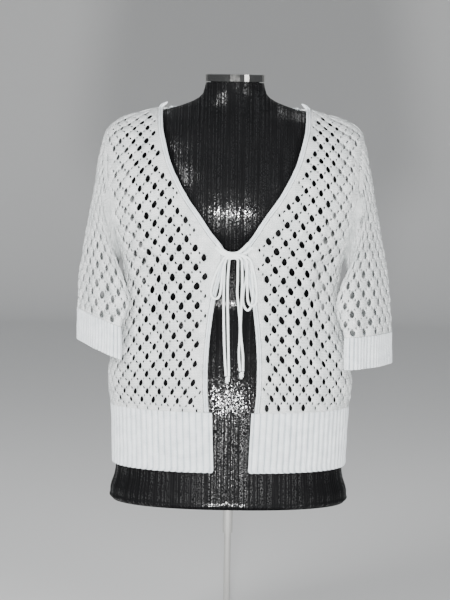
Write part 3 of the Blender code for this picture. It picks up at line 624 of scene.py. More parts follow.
def evaluated(holder, tree, values):
    """The mesh that a Geometry Nodes tree makes of an object, which is removed afterwards."""
    modifier = holder.modifiers.new("nodes", "NODES")
    modifier.node_group = tree
    for item in tree.interface.items_tree:
        if item.in_out == "INPUT" and item.name in values:
            modifier[item.identifier] = values[item.name]
    holder.update_tag()
    graph = bpy.context.evaluated_depsgraph_get()
    mesh = bpy.data.meshes.new_from_object(holder.evaluated_get(graph))
    holder.modifiers.remove(modifier)
    bpy.data.objects.remove(holder)
    return mesh


def laid_tiles(outline, margins, phase, tree, material):
    """Flat openwork over an outline: its points and triangles."""
    w, h = TILE_WIDE, TILE_TALL
    low = outline.min(0) - phase
    high = outline.max(0) - phase
    columns = np.arange(math.floor(low[0] / w) - 1, math.ceil(high[0] / w) + 2)
    rows = np.arange(math.floor(low[1] / h) - 1, math.ceil(high[1] / h) + 2)
    i, j = np.meshgrid(columns, rows, indexing="ij")
    node = np.stack([i * w + phase[0], j * h + phase[1]], -1).reshape(-1, 2)
    _, spare = to_outline(node, outline, margins)
    inside = in_outline(node, outline)
    small = np.where(inside & (spare > -SMALL_EYELET_ROOM), 2, 0)
    state = np.where(inside & (spare > 0), 1, small).reshape(i.shape) * ((i + j) % 2 == 0)
    spots, kinds = [], []
    for a in range(len(columns) - 1):
        for b in range(len(rows) - 1):
            if (columns[a] + rows[b]) % 2 == 0:
                kinds.append(3 * state[a, b] + state[a + 1, b + 1])
            else:
                kinds.append(9 + 3 * state[a + 1, b] + state[a, b + 1])
            spots.append((columns[a] * w + phase[0], rows[b] * h + phase[1], 0))
    centre = np.array(spots)[:, :2] + [w / 2, h / 2]
    near, _ = to_outline(centre, outline)
    keep = in_outline(centre, outline) | (np.linalg.norm(centre - near, axis=1) < TILE_REACH)
    mesh = bpy.data.meshes.new("tile_spots")
    mesh.from_pydata([p for p, kept in zip(spots, keep) if kept], [], [])
    kinds = [kind for kind, kept in zip(kinds, keep) if kept]
    mesh.attributes.new("kind", "INT", "POINT").data.foreach_set("value", kinds)
    holder = bpy.data.objects.new("tile_spots", mesh)
    bpy.context.scene.collection.objects.link(holder)
    made = evaluated(holder, tree, {"Join distance": JOIN_DISTANCE, "Material": material})
    points = np.zeros(len(made.vertices) * 3)
    made.vertices.foreach_get("co", points)
    made.calc_loop_triangles()
    corners = np.zeros(len(made.loop_triangles) * 3, int)
    made.loop_triangles.foreach_get("vertices", corners)
    bpy.data.meshes.remove(made)
    return points.reshape(-1, 3)[:, :2], corners.reshape(-1, 3)


def cut_out(points, faces, outline):
    """Cuts flat cloth along an outline: what lies outside goes, and what crosses is drawn onto the line."""
    outside = ~in_outline(points, outline)
    faces = faces[~outside[faces].all(1)]
    used = np.unique(faces)
    new_index = np.full(len(points), -1)
    new_index[used] = np.arange(len(used))
    points, outside, faces = points[used], outside[used], new_index[faces]
    place, _ = to_outline(points[outside], outline)
    points = points.copy()
    points[outside] = place
    a, b, c = (points[faces[:, k]] for k in range(3))
    doubled_area = (b[:, 0] - a[:, 0]) * (c[:, 1] - a[:, 1]) - (b[:, 1] - a[:, 1]) * (c[:, 0] - a[:, 0])
    return points, faces[doubled_area > 1e-9], outside


def open_edges(faces):
    """Directed edges that only one face has."""
    sides = np.concatenate([faces[:, [k, (k + 1) % faces.shape[1]]] for k in range(faces.shape[1])])
    size = faces.max() + 1
    key = sides[:, 0] * size + sides[:, 1]
    back = sides[:, 1] * size + sides[:, 0]
    return sides[~np.isin(key, back)]


def point_normals(points, faces):
    """Outward directions at points, from the faces round each."""
    corner = points[faces]
    normal = np.cross(corner[:, 1] - corner[:, 0], corner[:, 2] - corner[:, 0])
    total = np.zeros_like(points)
    for k in range(faces.shape[1]):
        np.add.at(total, faces[:, k], normal)
    return unit(total)


def closed_cloth(name, points, faces, uv, lift, thickness, material, firm):
    """A closed cloth from its middle face.

    Lift raises the outside, the inside lies thickness below it, and edges between firm points stay crisp.
    """
    normals = point_normals(points, faces)
    outer = points + normals * lift[:, None]
    inner = points + normals * (lift - thickness)[:, None]
    count = len(points)
    rim = open_edges(faces)
    quads = np.stack([rim[:, 1], rim[:, 0], rim[:, 0] + count, rim[:, 1] + count], 1)
    all_faces = faces.tolist() + (faces[:, ::-1] + count).tolist() + quads.tolist()
    mesh = bpy.data.meshes.new(name)
    mesh.from_pydata(np.concatenate([outer, inner]).tolist(), [], all_faces)
    layer = mesh.uv_layers.new(name="cloth")
    loops = np.zeros(len(mesh.loops), int)
    mesh.loops.foreach_get("vertex_index", loops)
    layer.data.foreach_set("uv", np.concatenate([uv, uv])[loops].ravel())
    mesh.shade_smooth()
    ends = np.zeros(len(mesh.edges) * 2, int)
    mesh.edges.foreach_get("vertices", ends)
    crisp = firm[ends % count].reshape(-1, 2).all(1)
    mesh.attributes.new("sharp_edge", "BOOLEAN", "EDGE").data.foreach_set("value", crisp)
    return placed(name, mesh, material)


def placed(name, mesh, material):
    """An object of a finished mesh, with its one material."""
    mesh.materials.clear()
    mesh.materials.append(material)
    made = bpy.data.objects.new(name, mesh)
    bpy.context.scene.collection.objects.link(made)
    return made


def drape(points, amount, size, seed):
    """Small soft unevenness of hanging cloth."""
    shift = Vector((seed * 3.7, seed * 1.9, seed))
    return np.array([noise.noise(Vector(p) / size + shift) for p in points]) * amount


def creases(points):
    """How far the slanting creases that run from under the arms draw the cloth in."""
    depth = np.zeros(len(points))
    for a, b, deep, wide in CREASES:
        for side in (1, -1):
            start = np.array(a) * [side, 1, 1]
            along = np.array(b) * [side, 1, 1] - start
            t = np.clip((points - start) @ along / (along @ along), 0, 1)
            far = np.linalg.norm(points - start - t[:, None] * along, axis=1)
            depth += deep * np.exp(-((far / wide) ** 2)) * np.sin(math.pi * np.clip(t, 0.06, 0.94))
    return depth


def cubic_powers(place):
    """The ten terms of a cubic in two values."""
    return np.stack([place[:, 0] ** a * place[:, 1] ** b for a in range(4) for b in range(4 - a)], 1)


def pulled(name, plan):
    """Flat places of points of the unstretched lace, which only the fronts' lace changes.

    A smooth cubic runs through the eyelets seen, and beyond them the lace runs on evenly.
    """
    if name not in SEEN_EYELETS:
        return plan
    seen = np.array(SEEN_EYELETS[name])
    count = seen[:, :2] / 10
    terms = np.linalg.lstsq(cubic_powers(count), seen[:, 2:] / 1000, rcond=None)[0]
    tenths = plan / [10 * TILE_WIDE, 10 * TILE_TALL]
    held = np.clip(tenths, count.min(0), count.max(0))
    return cubic_powers(held) @ terms + (tenths - held) * [10 * TILE_WIDE, 10 * TILE_TALL]


def unpulled(name, flat):
    """Places in the unstretched lace of flat points, by repeated correction."""
    plan = flat.copy()
    for _ in range(60 if name in SEEN_EYELETS else 0):
        plan += 0.7 * (flat - pulled(name, plan))
    return plan


def eased_eyelets(points, phase, openness, tilt):
    """Draws every large eyelet together by its own amount, and tilts it, as slack and tight cloth does."""
    place = (points - phase) / [TILE_WIDE, TILE_TALL]
    node = np.round(place)
    odd = (node.sum(1) % 2) == 1
    rest = place - node
    flip = np.abs(rest[:, 0]) > np.abs(rest[:, 1])
    step = np.where(rest >= 0, 1.0, -1.0)
    node[:, 0] += np.where(odd & flip, step[:, 0], 0)
    node[:, 1] += np.where(odd & ~flip, step[:, 1], 0)
    by_column, by_row, by_wave = CHANCE_FACTORS
    waves = [np.sin(node @ [by_column + k, by_row - 3 * k]) for k in range(4)]
    chance = np.stack([wave * by_wave % 1.0 for wave in waves], 1) - 0.5
    centre = node * [TILE_WIDE, TILE_TALL] + phase
    offset = points - centre
    near = 1 - ease(np.linalg.norm(offset / [1.0, 1.35], axis=1), 0.0050, 0.0088)
    wide = openness(centre) * (1 + 0.22 * chance[:, 0])
    tall = 1 - 0.4 * (1 - wide) + 0.08 * chance[:, 1]
    lean = tilt + 0.30 * chance[:, 2]
    eased = np.stack([offset[:, 0] * wide + offset[:, 1] * lean, offset[:, 1] * tall], 1)
    moved = centre + eased + 0.0006 * chance[:, 2:4]
    return points + (moved - points) * near[:, None]


def openwork(name, layout, border, phase, side, tree, material, seed, pull=None, tilt=0.0):
    """A lace panel: tiles laid over its flat outline, cut along it, and put onto the worn surface."""
    outline, margins = border
    phase = np.array(phase)
    outline = unpulled(pull, outline)
    points, faces = laid_tiles(outline, margins, phase, tree, material)
    points, faces, on_line = cut_out(points, faces, outline)
    rim = np.unique(open_edges(faces))
    rim = rim[~on_line[rim]]
    tree_of_rims = kdtree.KDTree(len(rim))
    for index in rim:
        tree_of_rims.insert((*points[index], 0), int(index))
    tree_of_rims.balance()
    far = np.array([tree_of_rims.find((*p, 0))[2] for p in points])

    def openness(centre):
        """How wide an eyelet hangs: less near a front's side seam, more at mid height and at the chest."""
        if pull is None:
            return np.full(len(centre), 1.06)
        across, up = pulled(pull, centre).T
        mid_height = 0.14 * np.exp(-(((up - 0.215) / 0.115) ** 2))
        chest = 0.14 * ease(up, 0.34, 0.42)
        seam = 1 - 0.28 * ease(across, 0.14, 0.19)
        return (0.90 + mid_height + chest) * seam

    moved = eased_eyelets(points, phase, openness, tilt)
    moved[on_line] = points[on_line]
    placed_points = layout.surface(pulled(pull, moved))
    if side < 0:
        faces = faces[:, ::-1]
    bulge = ease(far, 0.0, BULGE_WIDTH)
    lift = -RELIEF_BASE + LACE_RELIEF * bulge
    lift = lift + drape(placed_points, LACE_DRAPE, DRAPE_LENGTH, seed) - creases(placed_points)
    thickness = RIM_THICKNESS + THICKNESS_GAIN * bulge
    corner = points[faces]
    cut = np.abs(np.cross(corner[:, 1] - corner[:, 0], corner[:, 2] - corner[:, 0])).sum() / 2
    size = np.ptp(points, axis=0)
    piece = closed_cloth(name, placed_points, faces, points, lift, thickness, material, on_line)
    piece["cut"] = [float(size[0]), float(size[1]), float(cut)]
    return piece


# Materials

MATH = "ShaderNodeMath"
VECTOR_MATH = "ShaderNodeVectorMath"
NOISE = "ShaderNodeTexNoise"
BUMP = "ShaderNodeBump"
MIX = "ShaderNodeMix"
RANGE = "ShaderNodeMapRange"
PARTS = "ShaderNodeSeparateXYZ"
PLACE = "ShaderNodeTexCoord"
COLOURS = {"data_type": "RGBA"}
SMOOTH = {"interpolation_type": "SMOOTHSTEP"}


def colour(code):
    """A linear colour from a six-digit sRGB code."""
    parts = [int(code[k : k + 2], 16) / 255 for k in (0, 2, 4)]
    return tuple(c / 12.92 if c <= 0.04045 else ((c + 0.055) / 1.055) ** 2.4 for c in parts) + (1,)


def new_material(name):
    """A material, its tree and its one shader."""
    material = bpy.data.materials.new(name)
    material.use_nodes = True
    tree = material.node_tree
    return material, tree, tree.nodes["Principled BSDF"]


def cloth_coordinates(tree):
    """Metres across and along the flat cloth."""
    split = add(tree, PARTS, None, add(tree, "ShaderNodeUVMap", {"uv_map": "cloth"}))
    return split.outputs[0], split.outputs[1]


def stitches(tree, u, v, wide, tall):
    """Height of rows of V-shaped stitches over cloth coordinates in metres."""
    across = add(tree, MATH, "DIVIDE", u, wide)
    inside = add(tree, MATH, "ABSOLUTE", add(tree, MATH, "SUBTRACT", add(tree, MATH, "FRACT", across), 0.5))
    leg = add(tree, MATH, "SINE", add(tree, MATH, "MULTIPLY", inside, 2 * math.pi))
    up = add(tree, MATH, "DIVIDE", v, tall)
    slant = add(tree, MATH, "SUBTRACT", up, add(tree, MATH, "MULTIPLY", inside, 1.3))
    wave = add(tree, MATH, "SINE", add(tree, MATH, "MULTIPLY", slant, 2 * math.pi))
    return add(tree, MATH, "MULTIPLY", leg, add(tree, MATH, "MULTIPLY_ADD", wave, 0.5, 0.5))


def knit_material():
    """Matte white cotton yarn: the eye sees soft small stitches, faintly uneven in tone, and no shine.

    Stitches of 5.0 by 4.2 mm are drawn coarser than real ones of about 2.5 mm, which would be about a pixel.
    """
    material, tree, shader = new_material("matte_cotton_lace_knit")
    u, v = cloth_coordinates(tree)
    height = stitches(tree, u, v, 0.0050, 0.0042)
    # Loose fibres in tufts of 2.4 mm
    fibres = add(tree, NOISE, None, add(tree, PLACE).outputs["Object"], Scale=420.0, Detail=3.0)
    height = add(tree, MATH, "MULTIPLY_ADD", fibres, 0.9, add(tree, MATH, "SUBTRACT", height, 0.25))
    feed(tree, shader, Normal=add(tree, BUMP, Strength=0.9, Distance=0.0013, Height=height))
    # The stitches' height also goes into the colour: painted shade, down to 98A4A3, in the dips between the
    # stitches, and random tone from the fibres.
    matte_yarn_with_painted_shade(tree, shader, "FFFFFF", "98A4A3", height)
    return material


def rib_material():
    """The same yarn in ribs: the eye sees upright ridges crossed by a fine zigzag, and shade between them,
    cast by the real grooves and also painted into the colour.

    Stitches of 5.0 by 2.4 mm are drawn coarser than real ones for the same reason.
    """
    material, tree, shader = new_material("matte_cotton_rib_knit")
    u, v = cloth_coordinates(tree)
    height = stitches(tree, u, v, 0.0050, 0.0024)
    # Loose fibres in tufts of 1.1 mm
    fibres = add(tree, NOISE, None, add(tree, PLACE).outputs["Object"], Scale=900.0, Detail=3.0)
    height = add(tree, MATH, "MULTIPLY_ADD", fibres, 0.35, height)
    feed(tree, shader, Normal=add(tree, BUMP, Strength=0.8, Distance=0.0010, Height=height))
    # Painted shade in the grooves between the ribs: the colour goes towards A9B3B8 along each groove and in
    # the dips between the stitches.
    in_rib = add(tree, MATH, "FRACT", add(tree, MATH, "DIVIDE", u, RIB_PITCH))
    from_groove = add(tree, MATH, "ABSOLUTE", add(tree, MATH, "SUBTRACT", in_rib, 0.5))
    clear_of_painted_groove_shade = add(tree, MATH, "MINIMUM", add(tree, MATH, "DIVIDE", from_groove, 0.20), 1.0)
    light = add(tree, MATH, "MULTIPLY_ADD", clear_of_painted_groove_shade, 1.3, add(tree, MATH, "SUBTRACT", height, 0.9))
    matte_yarn_with_painted_shade(tree, shader, "F7FBFD", "A9B3B8", light)
    return material


def cord_material():
    """Fine knitted cotton cord: the eye sees a soft slanting twist and a matte face."""
    material, tree, shader = new_material("knitted_cotton_cord")
    place = add(tree, PARTS, None, add(tree, PLACE).outputs["Object"])
    # Turns of the twist lie 2.4 mm apart along the cord and slant across it
    upright = add(tree, MATH, "MULTIPLY", place.outputs[2], 2600.0)
    sideways = add(tree, MATH, "MULTIPLY", place.outputs[0], 1300.0)
    height = add(tree, MATH, "SINE", add(tree, MATH, "ADD", upright, sideways))
    feed(tree, shader, Normal=add(tree, BUMP, Strength=0.35, Distance=0.0004, Height=height))
    # The twist's height also goes into the colour: faint painted shade, E2E8E7, in the grooves of the twist.
    matte_yarn_with_painted_shade(tree, shader, "F4F7F7", "E2E8E7", height)
    return material


def matte_yarn_with_painted_shade(tree, shader, light, dark, height):
    """Matte yarn with painted shade, darker where the height is low between the stitches, and faint patches
    of darker tone.
    """
    # Patches about 17 mm wide
    patches = add(tree, NOISE, None, add(tree, PLACE).outputs["Object"], Scale=60.0, Detail=2.0)
    share = add(tree, MATH, "MULTIPLY_ADD", height, 0.45, add(tree, MATH, "MULTIPLY", patches, 0.75))
    feed(tree, shader, Base_Color=add(tree, MIX, COLOURS, share, colour(dark), colour(light)))
    feed(tree, shader, Roughness=0.92, Specular_IOR_Level=0.15, Sheen_Weight=0.12, Sheen_Roughness=0.5)


def cover_material():
    """Black stretch cloth with a fine glitter: the eye sees upright streaks of bright specks near a light.

    The streaks run down the ribs at the hips, and straight down over the chest. Specks of 1.6 mm are drawn
    coarser than real glitter, which would be less than a pixel.
    """
    material, tree, shader = new_material("black_glitter_stretch_cover")
    place = add(tree, PLACE).outputs["Object"]
    x, y, z = add(tree, PARTS, None, place).outputs
    turn = add(tree, MATH, "ARCTAN2", x, add(tree, MATH, "MULTIPLY", y, -1.0))
    # Ribs of about 4 mm
    ribs = add(tree, MATH, "SINE", add(tree, MATH, "MULTIPLY", turn, 230.0))
    feed(tree, shader, Normal=add(tree, BUMP, Strength=0.4, Distance=0.0004, Height=ribs))
    # Each speck of glitter is tilted its own way
    threads = add(tree, VECTOR_MATH, "MULTIPLY", place, (640.0, 640.0, 520.0))
    specks = add(tree, "ShaderNodeTexVoronoi", {"feature": "F1"}, Vector=threads, Scale=1.0).outputs
    tilt = add(tree, VECTOR_MATH, "SUBTRACT", specks["Color"], (0.5, 0.5, 0.5))
    tilt = add(tree, VECTOR_MATH, "SCALE", tilt, Scale=0.11)
    face = add(tree, "ShaderNodeNewGeometry").outputs["Normal"]
    facing = add(tree, VECTOR_MATH, "NORMALIZE", add(tree, VECTOR_MATH, "ADD", face, tilt))
    # Streaks of 2 to 3 mm, and up to 200 mm long
    around = add(tree, MATH, "MULTIPLY", turn, 56.0)
    upper = add(tree, RANGE, SMOOTH, Value=z, From_Min=0.42, From_Max=0.56)
    straight = add(tree, MATH, "SUBTRACT", add(tree, MATH, "MULTIPLY", x, 450.0), around)
    across = add(tree, MATH, "MULTIPLY_ADD", straight, upper, around)
    runs = add(tree, "ShaderNodeCombineXYZ", None, across, add(tree, MATH, "MULTIPLY", z, 5.0))
    streak = add(tree, NOISE, None, runs, Scale=1.0, Detail=2.0)
    shine = add(tree, MATH, "POWER", add(tree, MATH, "MULTIPLY", streak, 1.62), 6.0)
    shine = add(tree, MATH, "MINIMUM", shine, 1.0)
    glitter = add(tree, MATH, "MULTIPLY", shine, add(tree, MATH, "LESS_THAN", specks["Distance"], 0.50))
    feed(tree, shader, Base_Color=add(tree, MIX, COLOURS, streak, colour("030304"), colour("0E0E0F")))
    feed(tree, shader, Roughness=0.7, Specular_IOR_Level=0.08, Coat_Weight=glitter, Coat_Normal=facing)
    feed(tree, shader, Coat_Roughness=0.16, Coat_IOR=1.65)
    return material


def chrome_material():
    """Polished chrome with faint rubbing: the eye sees the lights and the dark cloth mirrored."""
    material, tree, shader = new_material("polished_chrome")
    # Rubbing in patches of about 8 mm
    rub = add(tree, NOISE, None, add(tree, PLACE).outputs["Object"], Scale=120.0, Detail=4.0)
    rough = add(tree, MATH, "MULTIPLY_ADD", rub, 0.10, 0.05)
    feed(tree, shader, Base_Color=colour("D8D7D4"), Metallic=1.0, Roughness=rough)
    return material


def steel_material():
    """Satin black enamel on steel: the eye sees a soft grain in a broad highlight."""
    material, tree, shader = new_material("satin_black_enamel")
    # The enamel's grain, 1.4 mm
    grain = add(tree, NOISE, None, add(tree, PLACE).outputs["Object"], Scale=700.0, Detail=2.0)
    feed(tree, shader, Normal=add(tree, BUMP, Strength=0.15, Distance=0.0002, Height=grain))
    feed(tree, shader, Base_Color=colour("2A2A2C"), Roughness=0.42)
    return material


def floor_material():
    """Pale matte studio paper: the eye sees an even face without shine."""
    material, tree, shader = new_material("pale_studio_paper")
    feed(tree, shader, Base_Color=colour("D9D9D8"), Roughness=0.95, Specular_IOR_Level=0.1)
    return material


# Camera and cords


def make_camera():
    """The photograph's view: 3.5 m away, level with the neck cap, tipped down and turned a degree."""
    distance = 3.5
    eye_height = 0.85
    data = bpy.data.cameras.new("camera")
    data.lens = 131.8
    camera = bpy.data.objects.new("camera", data)
    bpy.context.scene.collection.objects.link(camera)
    tip = math.atan2(0.309, distance)
    turned = Matrix.Rotation(math.radians(90) - tip, 4, "X") @ Matrix.Rotation(math.radians(0.945), 4, "Z")
    camera.matrix_world = Matrix.Translation((-0.0102, -distance, eye_height)) @ turned
    bpy.context.scene.camera = camera


def smooth_route(points, count):
    """Even points on a smooth curve through a route's own points."""
    fine = smoothed(np.array(points, float), 16)
    lengths = np.r_[0, np.cumsum(np.linalg.norm(np.diff(fine, axis=0), axis=1))]
    goal = np.linspace(0, lengths[-1], count)
    return np.stack([np.interp(goal, lengths, fine[:, k]) for k in range(3)], -1), lengths[-1]


def curve_object(name, points, radius, material, more=()):
    """A round cord along points, and along a second line where one is given."""
    curve = bpy.data.curves.new(name, "CURVE")
    curve.dimensions = "3D"
    curve.bevel_depth = radius
    curve.bevel_resolution = 3
    curve.use_fill_caps = True
    for line in (points, more):
        if len(line):
            spline = curve.splines.new("POLY")
            spline.points.add(len(line) - 1)
            for place, point in zip(spline.points, line):
                place.co = (*[float(x) for x in point], 1)
            spline.use_smooth = True
    curve.materials.append(material)
    made = bpy.data.objects.new(name, curve)
    bpy.context.scene.collection.objects.link(made)
    return made


def finished(piece, slot, *nodes):
    """A piece of the root's body that takes the place of solids."""
    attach(piece, "root")
    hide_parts(*nodes)
    return piece


def tail_knot(name, middle, material):
    """A small tight overhand knot: slanting turns of cord drawn round the two strands."""
    x, y, z = middle
    steps = 48
    wraps = []
    for k in range(steps + 1):
        turn = k / steps * 2 * math.pi * 2.5
        rise = 0.0034 - 0.0068 * k / steps + 0.0008 * math.sin(turn + 0.6)
        reach = 0.0017 + 0.0003 * math.cos(2 * turn)
        wraps.append((x + 1.1 * reach * math.cos(turn), y + 0.8 * reach * math.sin(turn), z + rise))
    core = [(x, y, z + along) for along in (0.0052, 0.0015, -0.0020, -0.0058)]
    piece = curve_object(name.replace("tail_knot", "cord_end_knot"), wraps, 0.0015, material, core)
    return finished(piece, "tie_cord", name)


def make_cords(material):
    """The tie's loops and tails, and the knots that end the tails."""
    knots = {side: tail_knot(f"tail_knot_{side}", at, material) for side, at in TAIL_KNOTS.items()}
    for name, route in ROUTES.items():
        points, length = smooth_route(route, 90)
        piece = curve_object(name.replace("tie_", "cord_"), points, CORD_DIAMETER / 2, material)
        finished(piece, "tie_cord", name)


def make_bow_knot(material):
    """The bow's knot: two rolled bridges close the V, and every strand bends up and in over the gap."""
    points = []
    faces = []
    tube(points, faces, smooth_route(UPPER_BRIDGE, 44)[0], 0.0027)
    tube(points, faces, smooth_route(LOWER_BRIDGE, 44)[0], 0.0026)
    ends = []
    for name, route in ROUTES.items():
        ends.append(route[0])
        if "loop" in name:
            ends.append(route[-1])
    middle = BOW_MIDDLE
    for k, (x, y, z) in enumerate(sorted(ends)):
        out = min(1.0, max(0.0, (abs(x - middle) - 0.005) / 0.016))
        top = 0.6166 + 0.0062 * out
        front = -0.1298 - 0.0005 * (k % 3)
        path = [
            (x, y, z - 0.0005),
            (x + (0.05 + 0.10 * out) * (middle - x), (y + front) / 2, z + 0.45 * (top - z)),
            (x + 0.42 * (middle - x), front, z + 0.86 * (top - z)),
            (x + 0.80 * (middle - x), front + 0.0002, top),
            (middle + 0.0015 * (1 if x < middle else -1), front + 0.0008, top + 0.0002),
        ]
        tube(points, faces, smooth_route(path, 22)[0], CORD_DIAMETER / 2)
    finished(smooth_piece("bow_knot", points, faces, material), "tie_cord", "tie_knot")


def smooth_piece(name, points, faces, material):
    """An object of points and faces with smooth shading."""
    mesh = bpy.data.meshes.new(name)
    mesh.from_pydata(points, [], faces)
    mesh.shade_smooth()
    return placed(name, mesh, material)


def ring_pairs(rings, sides, first=0):
    """Neighbouring points on every ring but the last, for the faces up to the next ring."""
    for r in range(rings - 1):
        for k in range(sides):
            yield first + r * sides + k, first + r * sides + (k + 1) % sides


def tube(points, faces, line, radius, sides=12):
    """Adds a closed round tube along a line to lists of points and faces."""
    line = np.asarray(line, float)
    along = unit(np.gradient(line, axis=0))
    up = np.array([0.0, 0.0, 1.0])
    first = len(points)
    for p, a in zip(line, along):
        side = unit(np.cross(a, up)) if abs(a @ up) < 0.95 else unit(np.cross(a, [0.0, 1.0, 0.0]))
        out = np.cross(side, a)
        for k in range(sides):
            turn = 2 * math.pi * k / sides
            points.append(tuple(p + radius * (side * math.cos(turn) + out * math.sin(turn))))
    faces += [(a, a + sides, b + sides, b) for a, b in ring_pairs(len(line), sides, first)]
    faces.append(tuple(range(first, first + sides)))
    last = first + (len(line) - 1) * sides
    faces.append(tuple(range(last + sides - 1, last - 1, -1)))


# Cloth pieces


def column_index(columns, value):
    """The fractional index of a value in even columns or rows."""
    return (np.asarray(value) - columns[0]) / (columns[-1] - columns[0]) * (len(columns) - 1)


def panel_outline(layout, columns, rows, border):
    """The flat outline and each stretch's margin without eyelets, from (column, row, margin) lines."""
    points, margins = [], []
    for column, row, margin in border:
        flat = layout.flat(column_index(columns, column), column_index(rows, row))
        points.append(flat)
        margins.append(np.full(len(flat), margin) if np.isscalar(margin) else margin)
    return np.concatenate(points), np.concatenate(margins)


def side_border(shoulder_points):
    """The lines up a side seam, round an armhole and along a shoulder, with their margins."""
    side_rows = np.linspace(HEM_TOP, UNDERARM, 40)[:-1]
    arm_rows = UNDERARM + (SHOULDER_TIP - UNDERARM) * (1 - np.cos(np.linspace(0, math.pi, 50))) / 2
    top_rows = np.linspace(SHOULDER_TIP, NECK_POINT - TRIM, shoulder_points)[1:]
    seam = math.pi / 2 - SEAM_ANGLE
    return [
        (np.full(len(side_rows), seam), side_rows, SIDE_MARGIN),
        (math.pi / 2 - armhole_half_angle(arm_rows) - SEAM_ANGLE, arm_rows, ARMHOLE_MARGIN),
        (np.full(len(top_rows), seam), top_rows, SHOULDER_MARGIN),
    ]


def front_panel(arm, tree, material):
    """A front from the hem's rib to the shoulder, with a wider plain edge beside the bow."""
    name, side = arm[:2]
    columns = np.linspace(0, PANEL_REACH, 160)
    rows = np.linspace(HEM_TOP, NECK_POINT, PANEL_ROWS)
    layout = Layout(worn(side * columns[:, None], rows[None, :]), 0, PANEL_REFERENCE_ROW)
    edge_rows = np.linspace(HEM_TOP, NECK_POINT - TRIM, 90)
    inner = front_edge_angle(side, edge_rows)
    band = 0.0085 + 0.008 * ease(edge_rows, 0.55, 0.60) * (1 - ease(edge_rows, 0.65, 0.72))
    foot = np.linspace(float(inner[0]), math.pi / 2 - SEAM_ANGLE, 40)[:-1]
    border = [(foot, np.full(len(foot), HEM_TOP), HEM_MARGIN)]
    border += side_border(30) + [(inner[::-1], edge_rows[::-1], band[::-1])]
    border = panel_outline(layout, columns, rows, border)
    lace = f"lace_front_{name}"
    piece = openwork(lace, layout, border, (0, 0), side, tree, material, seed=1 + side, pull=name, tilt=-0.12)
    return finished(piece, "knit", f"front_{name}")


def back_panel(tree, material):
    """The back from the hem's rib to the neck, seam to seam."""
    columns = np.linspace(-PANEL_REACH, PANEL_REACH, 321)
    rows = np.linspace(HEM_TOP, NECK_POINT, PANEL_ROWS)
    points = worn(math.pi + columns[:, None], rows[None, :])
    layout = Layout(points, len(columns) // 2, PANEL_REFERENCE_ROW)
    right = side_border(20)
    left = [(-angle[::-1], height[::-1], margin) for angle, height, margin in right[::-1]]
    neck = np.linspace(math.pi / 2 - SEAM_ANGLE, -math.pi / 2 + SEAM_ANGLE, 80)[1:-1]
    foot = np.linspace(-math.pi / 2 + SEAM_ANGLE, math.pi / 2 - SEAM_ANGLE, 80)[1:-1]
    border = right + [(neck, back_neck_height(math.pi + neck), ARMHOLE_MARGIN)] + left
    border.append((foot, np.full(len(foot), HEM_TOP), HEM_MARGIN))
    border = panel_outline(layout, columns, rows, border)
    piece = openwork("lace_back", layout, border, (0.0, 0.006), 1, tree, material, seed=5)
    return finished(piece, "knit", "back_panel")


def sleeve(arm, tree, material):
    """A sleeve from its cuff to the armhole, closed along its inner line."""
    name, side = arm[:2]
    columns = np.linspace(-math.pi, math.pi, 241)
    points = sleeve_grid(arm, columns) * [side, 1, 1]
    layout = Layout(points, len(columns) // 2, SLEEVE_REFERENCE_ROW)
    rows = np.arange(points.shape[1], dtype=float)
    edge = np.linspace(-math.pi, math.pi, 100)
    seam_rows = np.linspace(0, rows[-1], 40)
    across = len(edge) - 1
    along = len(seam_rows) - 1
    border = [
        (edge[:-1], np.zeros(across), SIDE_MARGIN),
        (np.full(along, math.pi), seam_rows[:-1], HEM_MARGIN),
        (edge[::-1][:-1], np.full(across, rows[-1]), SHOULDER_MARGIN),
        (np.full(along, -math.pi), seam_rows[::-1][:-1], HEM_MARGIN),
    ]
    border = panel_outline(layout, columns, rows, border)
    piece = openwork(
        f"lace_sleeve_{name}", layout, border, (0.004 * side, 0.007), -side, tree, material, seed=9 + side
    )
    return finished(piece, "knit", f"sleeve_{name}")


def grid_faces(columns, rows):
    i, j = np.meshgrid(np.arange(columns - 1), np.arange(rows - 1), indexing="ij")
    a = (i * rows + j).ravel()
    return np.stack([a, a + rows, a + rows + 1, a + 1], 1)


def ribbed(name, points, ribs, side, material, seed):
    """Ribbed cloth over a grid of points, columns anticlockwise from above for side 1."""
    columns, rows = points.shape[:2]
    across = np.r_[0, np.cumsum(np.linalg.norm(np.diff(points[:, rows // 2], axis=0), axis=1))]
    up = np.r_[0, np.cumsum(np.linalg.norm(np.diff(points[columns // 2], axis=0), axis=1))]
    uv = np.stack(np.meshgrid(RIB_PITCH * ribs * across / across[-1], up, indexing="ij"), -1).reshape(-1, 2)
    phase = ribs * across / across[-1] % 1.0
    # Round ribs with a narrow groove between them, a little lower at the band's top
    profile = 0.80 + 0.20 * np.cos(2 * math.pi * phase) - 1.7 * np.exp(-(((phase - 0.5) / 0.13) ** 2))
    flat = points.reshape(-1, 3)
    lift = np.repeat(profile, rows) * RIB_RELIEF - RELIEF_BASE
    level = np.tile(np.linspace(0, 1, rows), columns)
    lift = lift * (1 - 0.35 * np.exp(-(((level - 1) / 0.06) ** 2)))
    lift = lift + drape(flat, RIB_DRAPE, DRAPE_LENGTH, seed)
    faces = grid_faces(columns, rows)
    if side < 0:
        faces = faces[:, ::-1]
    corner = flat[faces]
    area = np.linalg.norm(np.cross(corner[:, 1] - corner[:, 0], corner[:, 3] - corner[:, 0]), axis=1).sum()
    edge = np.zeros((columns, rows), bool)
    edge[0], edge[-1], edge[:, 0], edge[:, -1] = True, True, True, True
    thickness = np.full(len(flat), RIB_THICKNESS)
    piece = closed_cloth(name, flat, faces, uv, lift, thickness, material, edge.ravel())
    piece["cut"] = [float(across[-1]), float(up[-1]), float(area)]
    return piece


